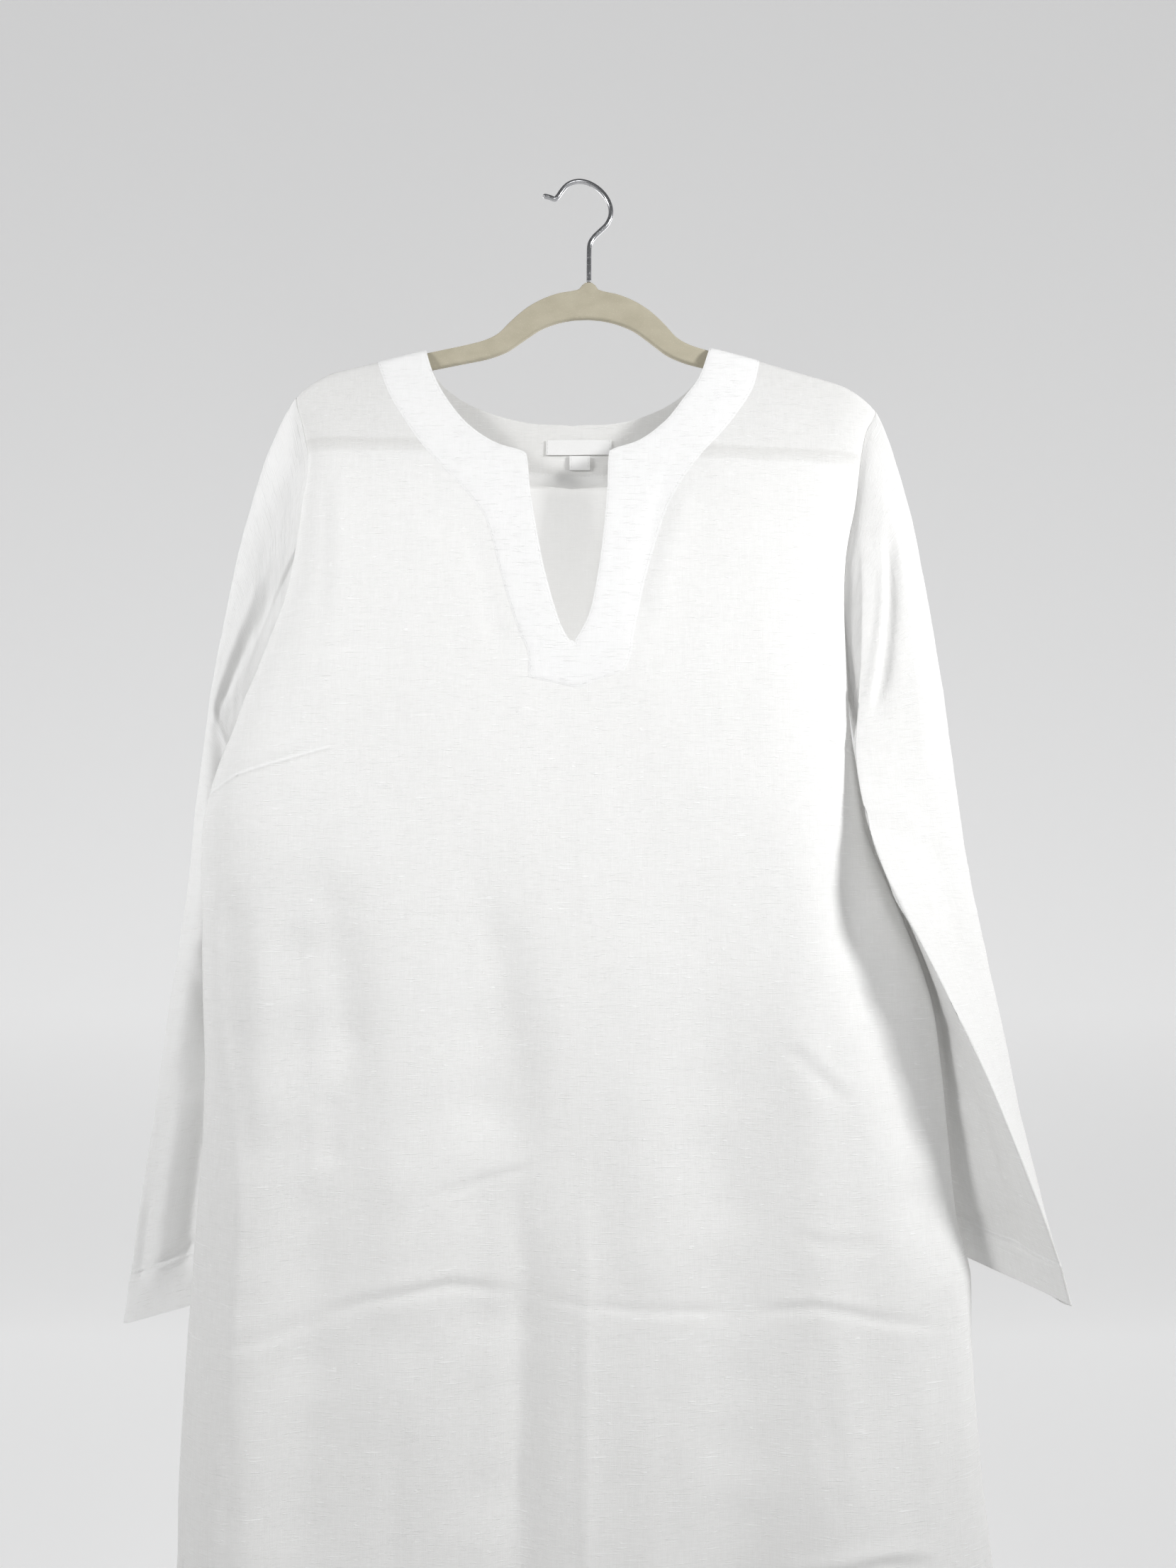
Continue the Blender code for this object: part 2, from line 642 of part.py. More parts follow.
def thicken(name, outer, inner, faces, colour):
    """A closed wall between an outer and an inner surface that share their faces."""
    used = sorted({index for face in faces for index in face})
    place = {index: i for i, index in enumerate(used)}
    points = [outer[i] for i in used] + [inner[i] for i in used]
    shift = len(used)
    closed = []
    edges = set()
    for face in faces:
        a, b, c = (place[i] for i in face)
        closed.append((a, b, c))
        closed.append((a + shift, c + shift, b + shift))
        edges.update(((a, b), (b, c), (c, a)))
    for start, end in sorted(edges):
        if (end, start) not in edges:
            closed.append((end, start, start + shift))
            closed.append((end, start + shift, end + shift))
    return add_object(name, points, closed, colour)


class Panel:
    """A front or back panel: its mesh points in rows, its faces and its normals."""

    def __init__(self, half_row, numbers, open_rows, facing_front):
        self.numbers = numbers
        self.half = len(half_row(-1, 1.0))
        self.points = []
        self.index = {}
        for r, number in enumerate(numbers):
            left = half_row(-1, number)
            right = half_row(1, number)
            joined = number >= open_rows
            for c, point in enumerate(left + right[::-1]):
                if joined and c == self.half:
                    self.index[(r, c)] = self.index[(r, c - 1)]
                    continue
                self.index[(r, c)] = len(self.points)
                self.points.append(point)
        quads = []
        self.cells = {}
        for r in range(len(numbers) - 1):
            for c in range(2 * self.half - 1):
                if c == self.half - 1:
                    continue
                corners = (self.index[(r, c)], self.index[(r + 1, c)],
                           self.index[(r + 1, c + 1)], self.index[(r, c + 1)])
                if not facing_front:
                    corners = corners[::-1]
                self.cells[(r, c)] = triangles([corners])
                quads.append(corners)
        self.faces = triangles(quads)
        self.normals = point_normals(self.points, self.faces)

    def row_of(self, number):
        """Mesh row of a table row."""
        return self.numbers.index(float(number))

    def side_index(self, side, row):
        """Index of a side edge's point."""
        return self.index[(row, 0 if side < 0 else 2 * self.half - 1)]

    def side_points(self, side, rows):
        """Points of a side edge."""
        return [self.points[self.side_index(side, row)] for row in rows]

    def flatten_shoulders(self):
        """Turn the rims of the shoulder seams to face straight across them."""
        for c in range(2 * self.half):
            index = self.index[(0, c)]
            flat = Vector((self.normals[index].x, 0, self.normals[index].z))
            self.normals[index] = flat.normalized()


def match_side_rims(front, back):
    """Give front and back the same rims down the side seams and slits."""
    for side in (-1, 1):
        under = FRONT_UNDERARM_ROW[side]
        pairs = [(number, BACK_UNDERARM_ROW) for number in range(under, len(FRONT_TOP[side]))]
        for i in range(len(LOWER_ROWS)):
            pairs.append((len(FRONT_TOP[side]) + i, len(BACK_TOP[side]) + i))
        for front_number, back_number in pairs:
            a = front.side_index(side, front.row_of(front_number))
            b = back.side_index(side, back.row_of(back_number))
            shared = (front.normals[a] + back.normals[b]).normalized()
            front.normals[a] = shared
            back.normals[b] = shared


def panel_solid(name, panel, colour):
    """A panel with its thickness, thicker along the turned hem."""
    hem_start = len(panel.numbers) - 2
    walls = [WALL] * len(panel.points)
    for (r, c), index in panel.index.items():
        if r >= hem_start:
            walls[index] = HEM_WALL
    inner = [p - n * w for p, n, w in zip(panel.points, panel.normals, walls)]
    return thicken(name, panel.points, inner, panel.faces, colour)


def layer_solid(name, panel, rows, columns, outer_shift, inner_shifts, colour):
    """A piece that lies on a panel, made from the panel's own points moved along its normals."""
    faces = []
    for r in rows:
        for c in columns:
            if (r, c) in panel.cells:
                faces += panel.cells[(r, c)]
    outer = [p + n * outer_shift for p, n in zip(panel.points, panel.normals)]
    inner = [p + n * shift for p, n, shift in zip(panel.points, panel.normals, inner_shifts)]
    return thicken(name, outer, inner, faces, colour)


def neck_band(front):
    """The band round the neck and down both sides of the slit."""
    first = len(SIDE_SHARES) - 1
    columns = range(first, 2 * front.half - 1 - first)
    rows = range(front.row_of(BAND_END_ROW))
    inner_shifts = [GAP] * len(front.points)
    return layer_solid("neck_band", front, rows, columns, GAP + BAND_WALL, inner_shifts, BAND_LINEN)


def back_facing(back):
    """The facing inside the back, with its hem along the bottom edge."""
    columns = range(FACING_EDGE_COLUMNS, 2 * back.half - 1 - FACING_EDGE_COLUMNS)
    hem_row = back.row_of(FACING_HEM_ROW)
    rows = range(back.row_of(FACING_START_NUMBER), back.row_of(FACING_END_ROW))
    near = -WALL - GAP
    inner_shifts = [near - FACING_WALL] * len(back.points)
    for (r, c), index in back.index.items():
        if r >= hem_row:
            inner_shifts[index] = near - FACING_HEM_WALL
    return layer_solid("back_facing", back, rows, columns, near, inner_shifts, FACING_LINEN)


def ply_shape(share):
    """How far the two plies stand apart between the folds."""
    return quarter_round(min(share, 1 - share) / PLY_ROUND)


def station_point(station, share, behind):
    """A point of a sleeve's section. Share runs from the outer fold to the inner one."""
    outer, ridge, corner, inner = (Vector(p) for p in station)
    puff = Vector((0, HALF_PLY * ply_shape(share), 0))
    if behind:
        return outer.lerp(inner, share) + puff
    if share <= RIDGE_SHARE:
        return outer.lerp(ridge, share / RIDGE_SHARE) - puff
    if share <= CORNER_SHARE:
        return ridge.lerp(corner, (share - RIDGE_SHARE) / (CORNER_SHARE - RIDGE_SHARE)) - puff
    return corner.lerp(inner, (share - CORNER_SHARE) / (1 - CORNER_SHARE)) - puff


def shares_along(points):
    """How far along a line each of its points lies, from 0 to 1."""
    lengths = [0.0]
    for a, b in zip(points, points[1:]):
        lengths.append(lengths[-1] + (b - a).length)
    return [length / lengths[-1] for length in lengths]


def crease_shares(shares):
    """Stretch shares a little, so that two of them fall on the ridge and on the corner."""
    kept = (0.0, RIDGE_SHARE, CORNER_SHARE, 1.0)
    near = [min(shares, key=lambda share: abs(share - target)) for target in kept]
    stretched = []
    for share in shares:
        i = max(k for k in range(3) if share >= near[k])
        along = (share - near[i]) / (near[i + 1] - near[i])
        stretched.append(kept[i] + (kept[i + 1] - kept[i]) * along)
    return stretched


def armhole(side, front, back):
    """Where a sleeve starts: down the front's edge and up the back's. Each entry holds the
    point, the rim's direction, its share of the way round and whether it lies behind."""
    underarm = front.row_of(FRONT_UNDERARM_ROW[side])
    front_rows = list(ARMHOLE_FRONT_ROLL_ROWS) + list(range(len(ROLL_ROWS), underarm + 1))
    back_rows = [back.row_of(number) for number in ARMHOLE_BACK_NUMBERS]
    front_edge = front.side_points(side, front_rows)
    back_edge = back.side_points(side, back_rows)
    shares = crease_shares(shares_along(front_edge))
    entries = []
    last = len(front_edge) - 1
    for i, point in enumerate(front_edge):
        wrap = abs(point.x - fold_x(side, point.z))
        step = Vector((side * GAP * (1 - min(wrap / SEAM_EASE, 1.0)), SEAM_STEP, 0))
        rim = Vector((0, -1, 0))
        if i == 0:
            step = Vector((side * SEAM_STEP, 0, 0))
            rim = Vector((0, 0, 1))
        if i == last:
            step.x = side * GAP
            rim = UNDERARM_RIM[side].normalized()
        entries.append((point + step, rim, shares[i], False))
    back_shares = shares_along([front_edge[0]] + back_edge + [front_edge[-1]])[1:-1]
    for point, share in reversed(list(zip(back_edge, back_shares))):
        inset = min(abs(point.x - fold_x(side, point.z)) / SEAM_EASE, 1.0)
        step = Vector((side * (GAP + GAP * inset), -SEAM_STEP * (1 - inset), 0))
        entries.append((point + step, Vector((0, 1, 0)), share, True))
    return entries


def sleeve_rings(side, entries):
    """Rings of a sleeve's outer surface, from the armhole to the cuff."""
    stations = SLEEVES[side]
    rings = [[point for point, rim, share, behind in entries]]
    for blend in CAP_BLENDS:
        ring = []
        for begin, rim, share, behind in entries:
            end = station_point(stations[0], share, behind)
            point = begin.lerp(end, blend)
            point.y = begin.y + (end.y - begin.y) * (1 - (1 - blend) ** CAP_TURN)
            bulge = CAP_BULGE[side] * math.cos(min(share / CAP_BULGE_END, 1.0) * math.pi / 2) ** 2
            point.x += side * bulge * math.sin(math.pi * blend ** CAP_BULGE_SKEW)
            ring.append(point)
        rings.append(ring)
    for station in stations:
        rings.append([station_point(station, share, behind)
                      for point, rim, share, behind in entries])
    return rings


def sleeve_solid(name, side, front, back):
    """A sleeve: a closed tube open at both ends, thicker along the cuff's hem."""
    entries = armhole(side, front, back)
    rings = sleeve_rings(side, entries)
    count = len(entries)
    points = [point for ring in rings for point in ring]
    quads = []
    for r in range(len(rings) - 1):
        for c in range(count):
            n = (c + 1) % count
            corners = (r * count + c, (r + 1) * count + c, (r + 1) * count + n, r * count + n)
            quads.append(corners if side < 0 else corners[::-1])
    faces = triangles(quads)
    normals = point_normals(points, faces)
    for i, (point, rim, share, behind) in enumerate(entries):
        normals[i] = rim
        normals[i - count] = normals[i - 2 * count]
    hem_start = (1 + len(CAP_BLENDS) + CUFF_HEM_STATION) * count
    walls = [HEM_WALL if i >= hem_start else WALL for i in range(len(points))]
    inner = [p - n * w for p, n, w in zip(points, normals, walls)]
    return thicken(name, points, inner, faces, LINEN)


def label_solid(name, box, facing):
    """A small label that lies on the facing's inner side."""
    left, right, top, bottom = box
    vertices = [v.co for v in facing.data.vertices]
    surface = BVHTree.FromPolygons(vertices, [p.vertices for p in facing.data.polygons])
    front_face = []
    back_face = []
    for r in range(LABEL_ROWS + 1):
        for c in range(LABEL_COLUMNS + 1):
            x = left + (right - left) * c / LABEL_COLUMNS
            z = top + (bottom - top) * r / LABEL_ROWS
            hit = surface.ray_cast(Vector((x, -1, z)), Vector((0, 1, 0)))[0]
            back_face.append(hit - Vector((0, GAP, 0)))
            front_face.append(hit - Vector((0, GAP + LABEL_WALL, 0)))
    quads = []
    for r in range(LABEL_ROWS):
        for c in range(LABEL_COLUMNS):
            a = r * (LABEL_COLUMNS + 1) + c
            b = a + LABEL_COLUMNS + 1
            quads.append((a, b, b + 1, a + 1))
    return thicken(name, front_face, back_face, triangles(quads), SATIN)


def hanger_section(x, top, bottom):
    """Ring of one upright section of the hanger, with rounded corners."""
    corner = min(ARM_ROUND, (top - bottom) / ARM_ROUND_LIMIT)
    ring = []
    for y_side, z_side, start in ((1, 1, 0), (-1, 1, 90), (-1, -1, 180), (1, -1, 270)):
        centre_y = y_side * (ARM_HALF - corner)
        centre_z = top - corner if z_side > 0 else bottom + corner
        for step in (0, 45, 90):
            angle = math.radians(start + step)
            local_z = centre_z + corner * math.sin(angle)
            world_x, world_z = tilted(x, local_z)
            ring.append(Vector((world_x, centre_y + corner * math.cos(angle), world_z)))
    return ring


def loft(name, rings, colour, roughness, metallic):
    """A closed body through rings of points, with flat ends."""
    count = len(rings[0])
    points = [point for ring in rings for point in ring]
    faces = [tuple(range(count - 1, -1, -1))]
    for r in range(len(rings) - 1):
        for c in range(count):
            n = (c + 1) % count
            faces.append((r * count + c, r * count + n, (r + 1) * count + n, (r + 1) * count + c))
    end = (len(rings) - 1) * count
    faces.append(tuple(end + i for i in range(count)))
    return add_object(name, points, faces, colour, roughness, metallic)


def hanger():
    """The flocked hanger, with a raised nub at its middle for the hook."""
    rings = []
    for reach, top, bottom in HANGER[:0:-1]:
        rings.append(hanger_section(STEM_X - reach, top, bottom))
    for reach, top, bottom in HANGER:
        rings.append(hanger_section(STEM_X + reach, top, bottom))
    return loft("hanger", rings, FLOCK, 0.95, 0.0)


def hanger_hook():
    """The wire hook, with a round tip and a foot over the hanger's nub."""
    route = [Vector((x, 0, z)) for x, z in HOOK]
    rings = []
    for i, point in enumerate(route):
        before = route[max(i - 1, 0)]
        after = route[min(i + 1, len(route) - 1)]
        along = (after - before).normalized()
        across = Vector((-along.z, 0, along.x))
        if i == 0:
            for size in HOOK_TIP:
                back = WIRE_RADIUS * math.sqrt(1 - size * size)
                rings.append(wire_ring(point - along * back, across, WIRE_RADIUS * size))
            continue
        rings.append(wire_ring(point, across, WIRE_RADIUS))
    return loft("hanger_hook", rings, CHROME, 0.18, 1.0)


def wire_ring(centre, across, radius):
    """A ring of points round the wire."""
    ring = []
    for i in range(WIRE_SIDES):
        angle = 2 * math.pi * i / WIRE_SIDES
        ring.append(centre + across * radius * math.cos(angle)
                    - Vector((0, 1, 0)) * radius * math.sin(angle))
    return ring


for old in list(bpy.data.objects):
    bpy.data.objects.remove(old, do_unlink=True)

front_panel = Panel(front_half_row, mesh_numbers(FRONT_TOP[-1]), SLIT_END_ROW, True)
back_panel = Panel(back_half_row, mesh_numbers(BACK_TOP[-1]), BACK_NECK_ROW, False)
front_panel.flatten_shoulders()
back_panel.flatten_shoulders()
match_side_rims(front_panel, back_panel)
panel_solid("dress_front", front_panel, LINEN)
panel_solid("dress_back", back_panel, LINEN)
neck_band(front_panel)
facing_piece = back_facing(back_panel)
sleeve_solid("sleeve_left", -1, front_panel, back_panel)
sleeve_solid("sleeve_right", 1, front_panel, back_panel)
label_solid("neck_label", MAIN_LABEL, facing_piece)
label_solid("size_label", SIZE_LABEL, facing_piece)
hanger()
hanger_hook()
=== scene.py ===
"""A long off-white linen kaftan dress on a flocked hanger, seen from in front.

Metres, +Z up, the origin at the top of the hook's inside. The dress faces -Y. Left and right
are the viewer's, and side is -1 for left and 1 for right.
"""
import bpy
import math
from collections import Counter
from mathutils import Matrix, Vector, noise


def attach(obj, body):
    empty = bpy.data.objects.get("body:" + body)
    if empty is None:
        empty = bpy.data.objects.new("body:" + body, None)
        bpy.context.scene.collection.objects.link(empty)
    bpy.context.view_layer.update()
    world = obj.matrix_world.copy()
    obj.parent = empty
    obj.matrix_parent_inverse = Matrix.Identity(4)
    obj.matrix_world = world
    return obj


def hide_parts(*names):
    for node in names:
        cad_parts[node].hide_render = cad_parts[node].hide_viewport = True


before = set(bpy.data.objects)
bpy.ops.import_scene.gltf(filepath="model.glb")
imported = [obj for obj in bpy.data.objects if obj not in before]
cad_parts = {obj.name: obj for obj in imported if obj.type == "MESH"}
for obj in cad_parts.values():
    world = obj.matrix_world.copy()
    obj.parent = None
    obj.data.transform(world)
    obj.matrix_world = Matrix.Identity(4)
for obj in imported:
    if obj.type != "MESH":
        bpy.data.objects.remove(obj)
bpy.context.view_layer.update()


# Camera. It stands at chest height, a little below the dress's middle, and looks slightly up,
# as close as the dress nearly filling the picture asks for.
def placed(name, data):
    """An object in the scene that holds a camera, a mesh or a light."""
    made = bpy.data.objects.new(name, data)
    bpy.context.scene.collection.objects.link(made)
    return made


camera_data = bpy.data.cameras.new("camera")
camera_data.sensor_width = 36.0
camera_data.lens = 27.05
camera = placed("camera", camera_data)
camera.location = (0.0065, -0.893, -0.558)
camera.rotation_euler = (math.radians(95.0), 0.0, 0.0)
bpy.context.scene.camera = camera
bpy.context.scene.view_settings.view_transform = "Standard"


# Front panel. One width of slub linen with a round neck that runs down into a slit, hung from
# the hanger's shoulders and sewn to the back down both sides as far as the side slits.
# Its tables hold where its folds, edges and rows lie, as in the solid model.
TILT = math.radians(1.4)
STEM_X = 0.0092
SHOULDER = (
    (0.080, -0.1290),
    (0.095, -0.1336),
    (0.126, -0.1413),
    (0.160, -0.1508),
    (0.187, -0.1582),
    (0.199, -0.1618),
    (0.210, -0.1676),
    (0.219, -0.1745),
    (0.226, -0.1815),
)
NECK_REACH = {-1: 0.126, 1: 0.097}
TIP_REACH = 0.226

# Columns: height, left fold, right fold
BODY = (
    (-1.490, -0.3110, 0.3210),
    (-1.200, -0.2955, 0.3050),
    (-1.043, -0.2880, 0.2967),
    (-0.984, -0.2885, 0.2910),
    (-0.890, -0.2855, 0.2860),
    (-0.840, -0.2830, 0.2866),
    (-0.800, -0.2812, 0.2776),
    (-0.740, -0.2782, 0.2727),
    (-0.695, -0.2783, 0.2693),
    (-0.640, -0.2812, 0.2625),
    (-0.584, -0.2838, 0.2440),
    (-0.519, -0.2858, 0.2175),
    (-0.485, -0.2800, 0.2132),
    (-0.443, -0.2667, 0.2073),
    (-0.415, -0.2560, 0.2054),
    (-0.376, -0.2410, 0.2032),
    (-0.336, -0.2267, 0.2027),
    (-0.300, -0.2195, 0.2055),
    (-0.264, -0.2146, 0.2130),
    (-0.229, -0.2105, 0.2178),
    (-0.205, -0.2145, 0.2230),
    (-0.189, -0.2185, 0.2305),
    (-0.1765, -0.2210, 0.2350),
)
# Columns: height, how far the front wraps round the fold, how far the back stops short of it,
# half the opening between the two
EDGES = {
    -1: (
        (-1.4900, 0.000, 0.0000, 0.0080),
        (-1.2000, 0.000, 0.0000, 0.0040),
        (-1.0420, 0.000, 0.0000, 0.0010),
        (-1.0300, 0.000, 0.0000, 0.0002),
        (-0.9600, 0.000, 0.0000, 0.0002),
        (-0.8950, 0.003, 0.0003, 0.0000),
        (-0.7000, 0.012, 0.0003, 0.0000),
        (-0.4370, 0.025, 0.0003, 0.0000),
        (-0.4300, 0.024, 0.0110, 0.0000),
        (-0.3780, 0.012, 0.0190, 0.0000),
        (-0.3360, 0.003, 0.0240, 0.0000),
        (-0.3000, 0.000, 0.0210, 0.0015),
        (-0.2480, 0.000, 0.0080, 0.0034),
        (-0.2050, 0.000, 0.0010, 0.0036),
        (-0.1850, 0.000, 0.0000, 0.0032),
        (-0.1774, 0.000, 0.0000, 0.0026),
        (-0.1762, 0.000, 0.0000, 0.0002),
    ),
    1: (
        (-1.4900, 0.000, 0.0000, 0.0080),
        (-1.2000, 0.000, 0.0000, 0.0040),
        (-1.0420, 0.000, 0.0000, 0.0010),
        (-1.0300, 0.000, 0.0000, 0.0002),
        (-0.4150, 0.000, 0.0000, 0.0002),
        (-0.4080, 0.000, 0.0000, 0.0030),
        (-0.3700, 0.000, 0.0000, 0.0050),
        (-0.3000, 0.000, 0.0000, 0.0055),
        (-0.2400, 0.000, 0.0000, 0.0045),
        (-0.2130, 0.000, 0.0000, 0.0038),
        (-0.1960, 0.000, 0.0000, 0.0032),
        (-0.1884, 0.000, 0.0000, 0.0026),
        (-0.1872, 0.000, 0.0000, 0.0002),
    ),
}
# Columns: drop below the shoulder line, swell of the front, swell of the back
SWELL = (
    (0.000, 0.0000, 0.0000),
    (0.050, 0.0070, 0.0004),
    (0.120, 0.0150, 0.0008),
    (0.250, 0.0230, 0.0015),
    (0.500, 0.0280, 0.0022),
    (0.900, 0.0310, 0.0030),
    (1.400, 0.0340, 0.0040),
)
# Columns: height at the side, band's outer edge x and z, neck or slit edge x and z
FRONT_TOP = {
    -1: (
        (-0.1762, -0.1585, -0.1481, -0.1205, -0.1385),
        (-0.2050, -0.1474, -0.1776, -0.1137, -0.1602),
        (-0.2280, -0.1346, -0.1996, -0.1033, -0.1807),
        (-0.2480, -0.1200, -0.2210, -0.0864, -0.2027),
        (-0.2630, -0.1030, -0.2400, -0.0650, -0.2185),
        (-0.2760, -0.0860, -0.2590, -0.0430, -0.2262),
        (-0.2870, -0.0730, -0.2760, -0.0397, -0.2330),
        (-0.3000, -0.0665, -0.2940, -0.0376, -0.2560),
        (-0.3180, -0.0600, -0.3190, -0.0326, -0.2870),
        (-0.3360, -0.0530, -0.3440, -0.0260, -0.3210),
        (-0.3520, -0.0450, -0.3680, -0.0155, -0.3580),
        (-0.3660, -0.0395, -0.3800, -0.0080, -0.3735),
        (-0.3780, -0.0378, -0.3880, -0.0035, -0.3768),
        (-0.3920, -0.0378, -0.3960, -0.0025, -0.3940),
        (-0.4060, -0.0380, -0.4030, -0.0010, -0.4110),
        (-0.4215, -0.0385, -0.4220, -0.0007, -0.4270),
        (-0.4370, -0.0390, -0.4400, -0.0004, -0.4440),
    ),
    1: (
        (-0.1872, 0.1410, -0.1473, 0.1020, -0.1367),
        (-0.2130, 0.1345, -0.1720, 0.0930, -0.1630),
        (-0.2340, 0.1225, -0.1925, 0.0815, -0.1800),
        (-0.2520, 0.1090, -0.2105, 0.0665, -0.2000),
        (-0.2660, 0.0950, -0.2260, 0.0465, -0.2162),
        (-0.2780, 0.0810, -0.2450, 0.0260, -0.2238),
        (-0.2880, 0.0700, -0.2640, 0.0222, -0.2300),
        (-0.3000, 0.0625, -0.2830, 0.0212, -0.2560),
        (-0.3160, 0.0555, -0.3060, 0.0187, -0.2860),
        (-0.3330, 0.0490, -0.3300, 0.0150, -0.3160),
        (-0.3490, 0.0435, -0.3560, 0.0085, -0.3510),
        (-0.3630, 0.0405, -0.3720, 0.0010, -0.3680),
        (-0.3770, 0.0395, -0.3820, -0.0035, -0.3768),
        (-0.3920, 0.0375, -0.3900, -0.0025, -0.3940),
        (-0.4080, 0.0342, -0.3977, -0.0010, -0.4110),
        (-0.4150, 0.0350, -0.4190, -0.0007, -0.4270),
        (-0.4340, 0.0360, -0.4400, -0.0004, -0.4440),
    ),
}
SLIT_END_ROW = 12
BAND_END_ROW = 14
UNDERARM = {-1: 16, 1: 15}
HEM_Z = -1.490
HEM_DEPTH = 0.030
LOWER_ROWS = (
    -0.470, -0.519, -0.575, -0.635, -0.700, -0.765, -0.830, -0.895, -0.960,
    -1.030, -1.042, -1.120, -1.200, -1.290, -1.380, HEM_Z + HEM_DEPTH, HEM_Z,
)
FOLD_FADE = 0.10
# Columns: start x and z, end x and z, half width, height
FRONT_FOLDS = (
    (0.0047, -0.760, 0.0047, -1.600, 0.022, 0.0026),
    (-0.073, -0.560, -0.036, -0.800, 0.022, -0.0045),
    (-0.036, -0.760, -0.044, -1.600, 0.020, -0.0060),
    (-0.258, -0.540, -0.236, -0.800, 0.016, -0.0030),
    (-0.180, -0.560, -0.160, -0.800, 0.020, -0.0045),
    (-0.225, -0.640, -0.215, -1.600, 0.030, 0.0040),
    (-0.130, -0.900, -0.135, -1.600, 0.028, -0.0045),
    (0.110, -0.960, 0.125, -1.600, 0.034, -0.0050),
    (0.205, -0.900, 0.215, -1.600, 0.030, 0.0040),
)


def curve_at(keys, values, key):
    """A smooth curve through values at rising keys."""
    last = len(keys) - 1
    key = min(max(key, keys[0]), keys[last])
    i = 0
    while i < last - 1 and key > keys[i + 1]:
        i += 1
    low = max(i - 1, 0)
    high = min(i + 2, last)
    step = keys[i + 1] - keys[i]
    rise = values[i + 1] - values[i]
    limit = 3 * abs(rise / step)
    slope_a = (values[i + 1] - values[low]) / (keys[i + 1] - keys[low])
    slope_b = (values[high] - values[i]) / (keys[high] - keys[i])
    slope_a = max(min(slope_a, limit), -limit)
    slope_b = max(min(slope_b, limit), -limit)
    t = (key - keys[i]) / step
    ease = t * t * (3 - 2 * t)
    bend = slope_a * t * (1 - t) ** 2 - slope_b * t * t * (1 - t)
    return values[i] + rise * ease + step * bend


class Curve:
    """A smooth curve through a table's column, sampled once so that it is quick to read."""

    def __init__(self, table, column, by_number=False, count=1500):
        keys = list(range(len(table))) if by_number else [row[0] for row in table]
        values = [row[column] for row in table]
        self.low = keys[0]
        self.step = (keys[-1] - keys[0]) / count
        self.samples = [curve_at(keys, values, self.low + self.step * i)
                        for i in range(count + 1)]

    def __call__(self, key):
        t = min(max((key - self.low) / self.step, 0.0), len(self.samples) - 1.001)
        i = int(t)
        return self.samples[i] + (self.samples[i + 1] - self.samples[i]) * (t - i)


def smooth(t):
    """Ease from 0 to 1."""
    t = min(max(t, 0.0), 1.0)
    return t * t * (3 - 2 * t)


def quarter_round(t):
    """Rise from 0 to 1 like a quarter of an ellipse."""
    t = min(max(t, 0.0), 1.0)
    return math.sqrt(1 - (1 - t) ** 2)


def tilted(x, z):
    """Turn a point of the straight hanger to where it hangs."""
    return (x * math.cos(TILT) + z * math.sin(TILT), z * math.cos(TILT) - x * math.sin(TILT))


shoulder_curve = Curve(SHOULDER, 1)
fold_curves = {-1: Curve(BODY, 1), 1: Curve(BODY, 2)}
edge_curves = {side: [None] + [Curve(EDGES[side], c) for c in (1, 2, 3)] for side in (-1, 1)}
swell_front = Curve(SWELL, 1)
swell_back = Curve(SWELL, 2)
front_curves = {side: [Curve(FRONT_TOP[side], c, True) for c in range(5)] for side in (-1, 1)}


def shoulder_line():
    """The shoulder line as a table of x and height, level across the neck."""
    line = []
    for side in (-1, 1):
        for i in range(121):
            reach = NECK_REACH[side] + (TIP_REACH - NECK_REACH[side]) * i / 120
            line.append(tilted(STEM_X + side * reach, shoulder_curve(reach)))
    return sorted(line)


shoulder_table = shoulder_line()
shoulder_height = Curve(shoulder_table, 1, count=3000)


def fold_relief(folds, x, z):
    """Sum of the broad hanging folds at a point of a panel, outward."""
    total = 0.0
    for x0, z0, x1, z1, half_width, height in folds:
        along = (z0 - z) / (z0 - z1)
        if 0 < along < 1:
            middle = x0 + (x1 - x0) * along
            fade = smooth((z0 - z) / FOLD_FADE) * smooth((z - z1) / FOLD_FADE)
            total += height * fade * math.exp(-((x - middle) / half_width) ** 2)
    return total


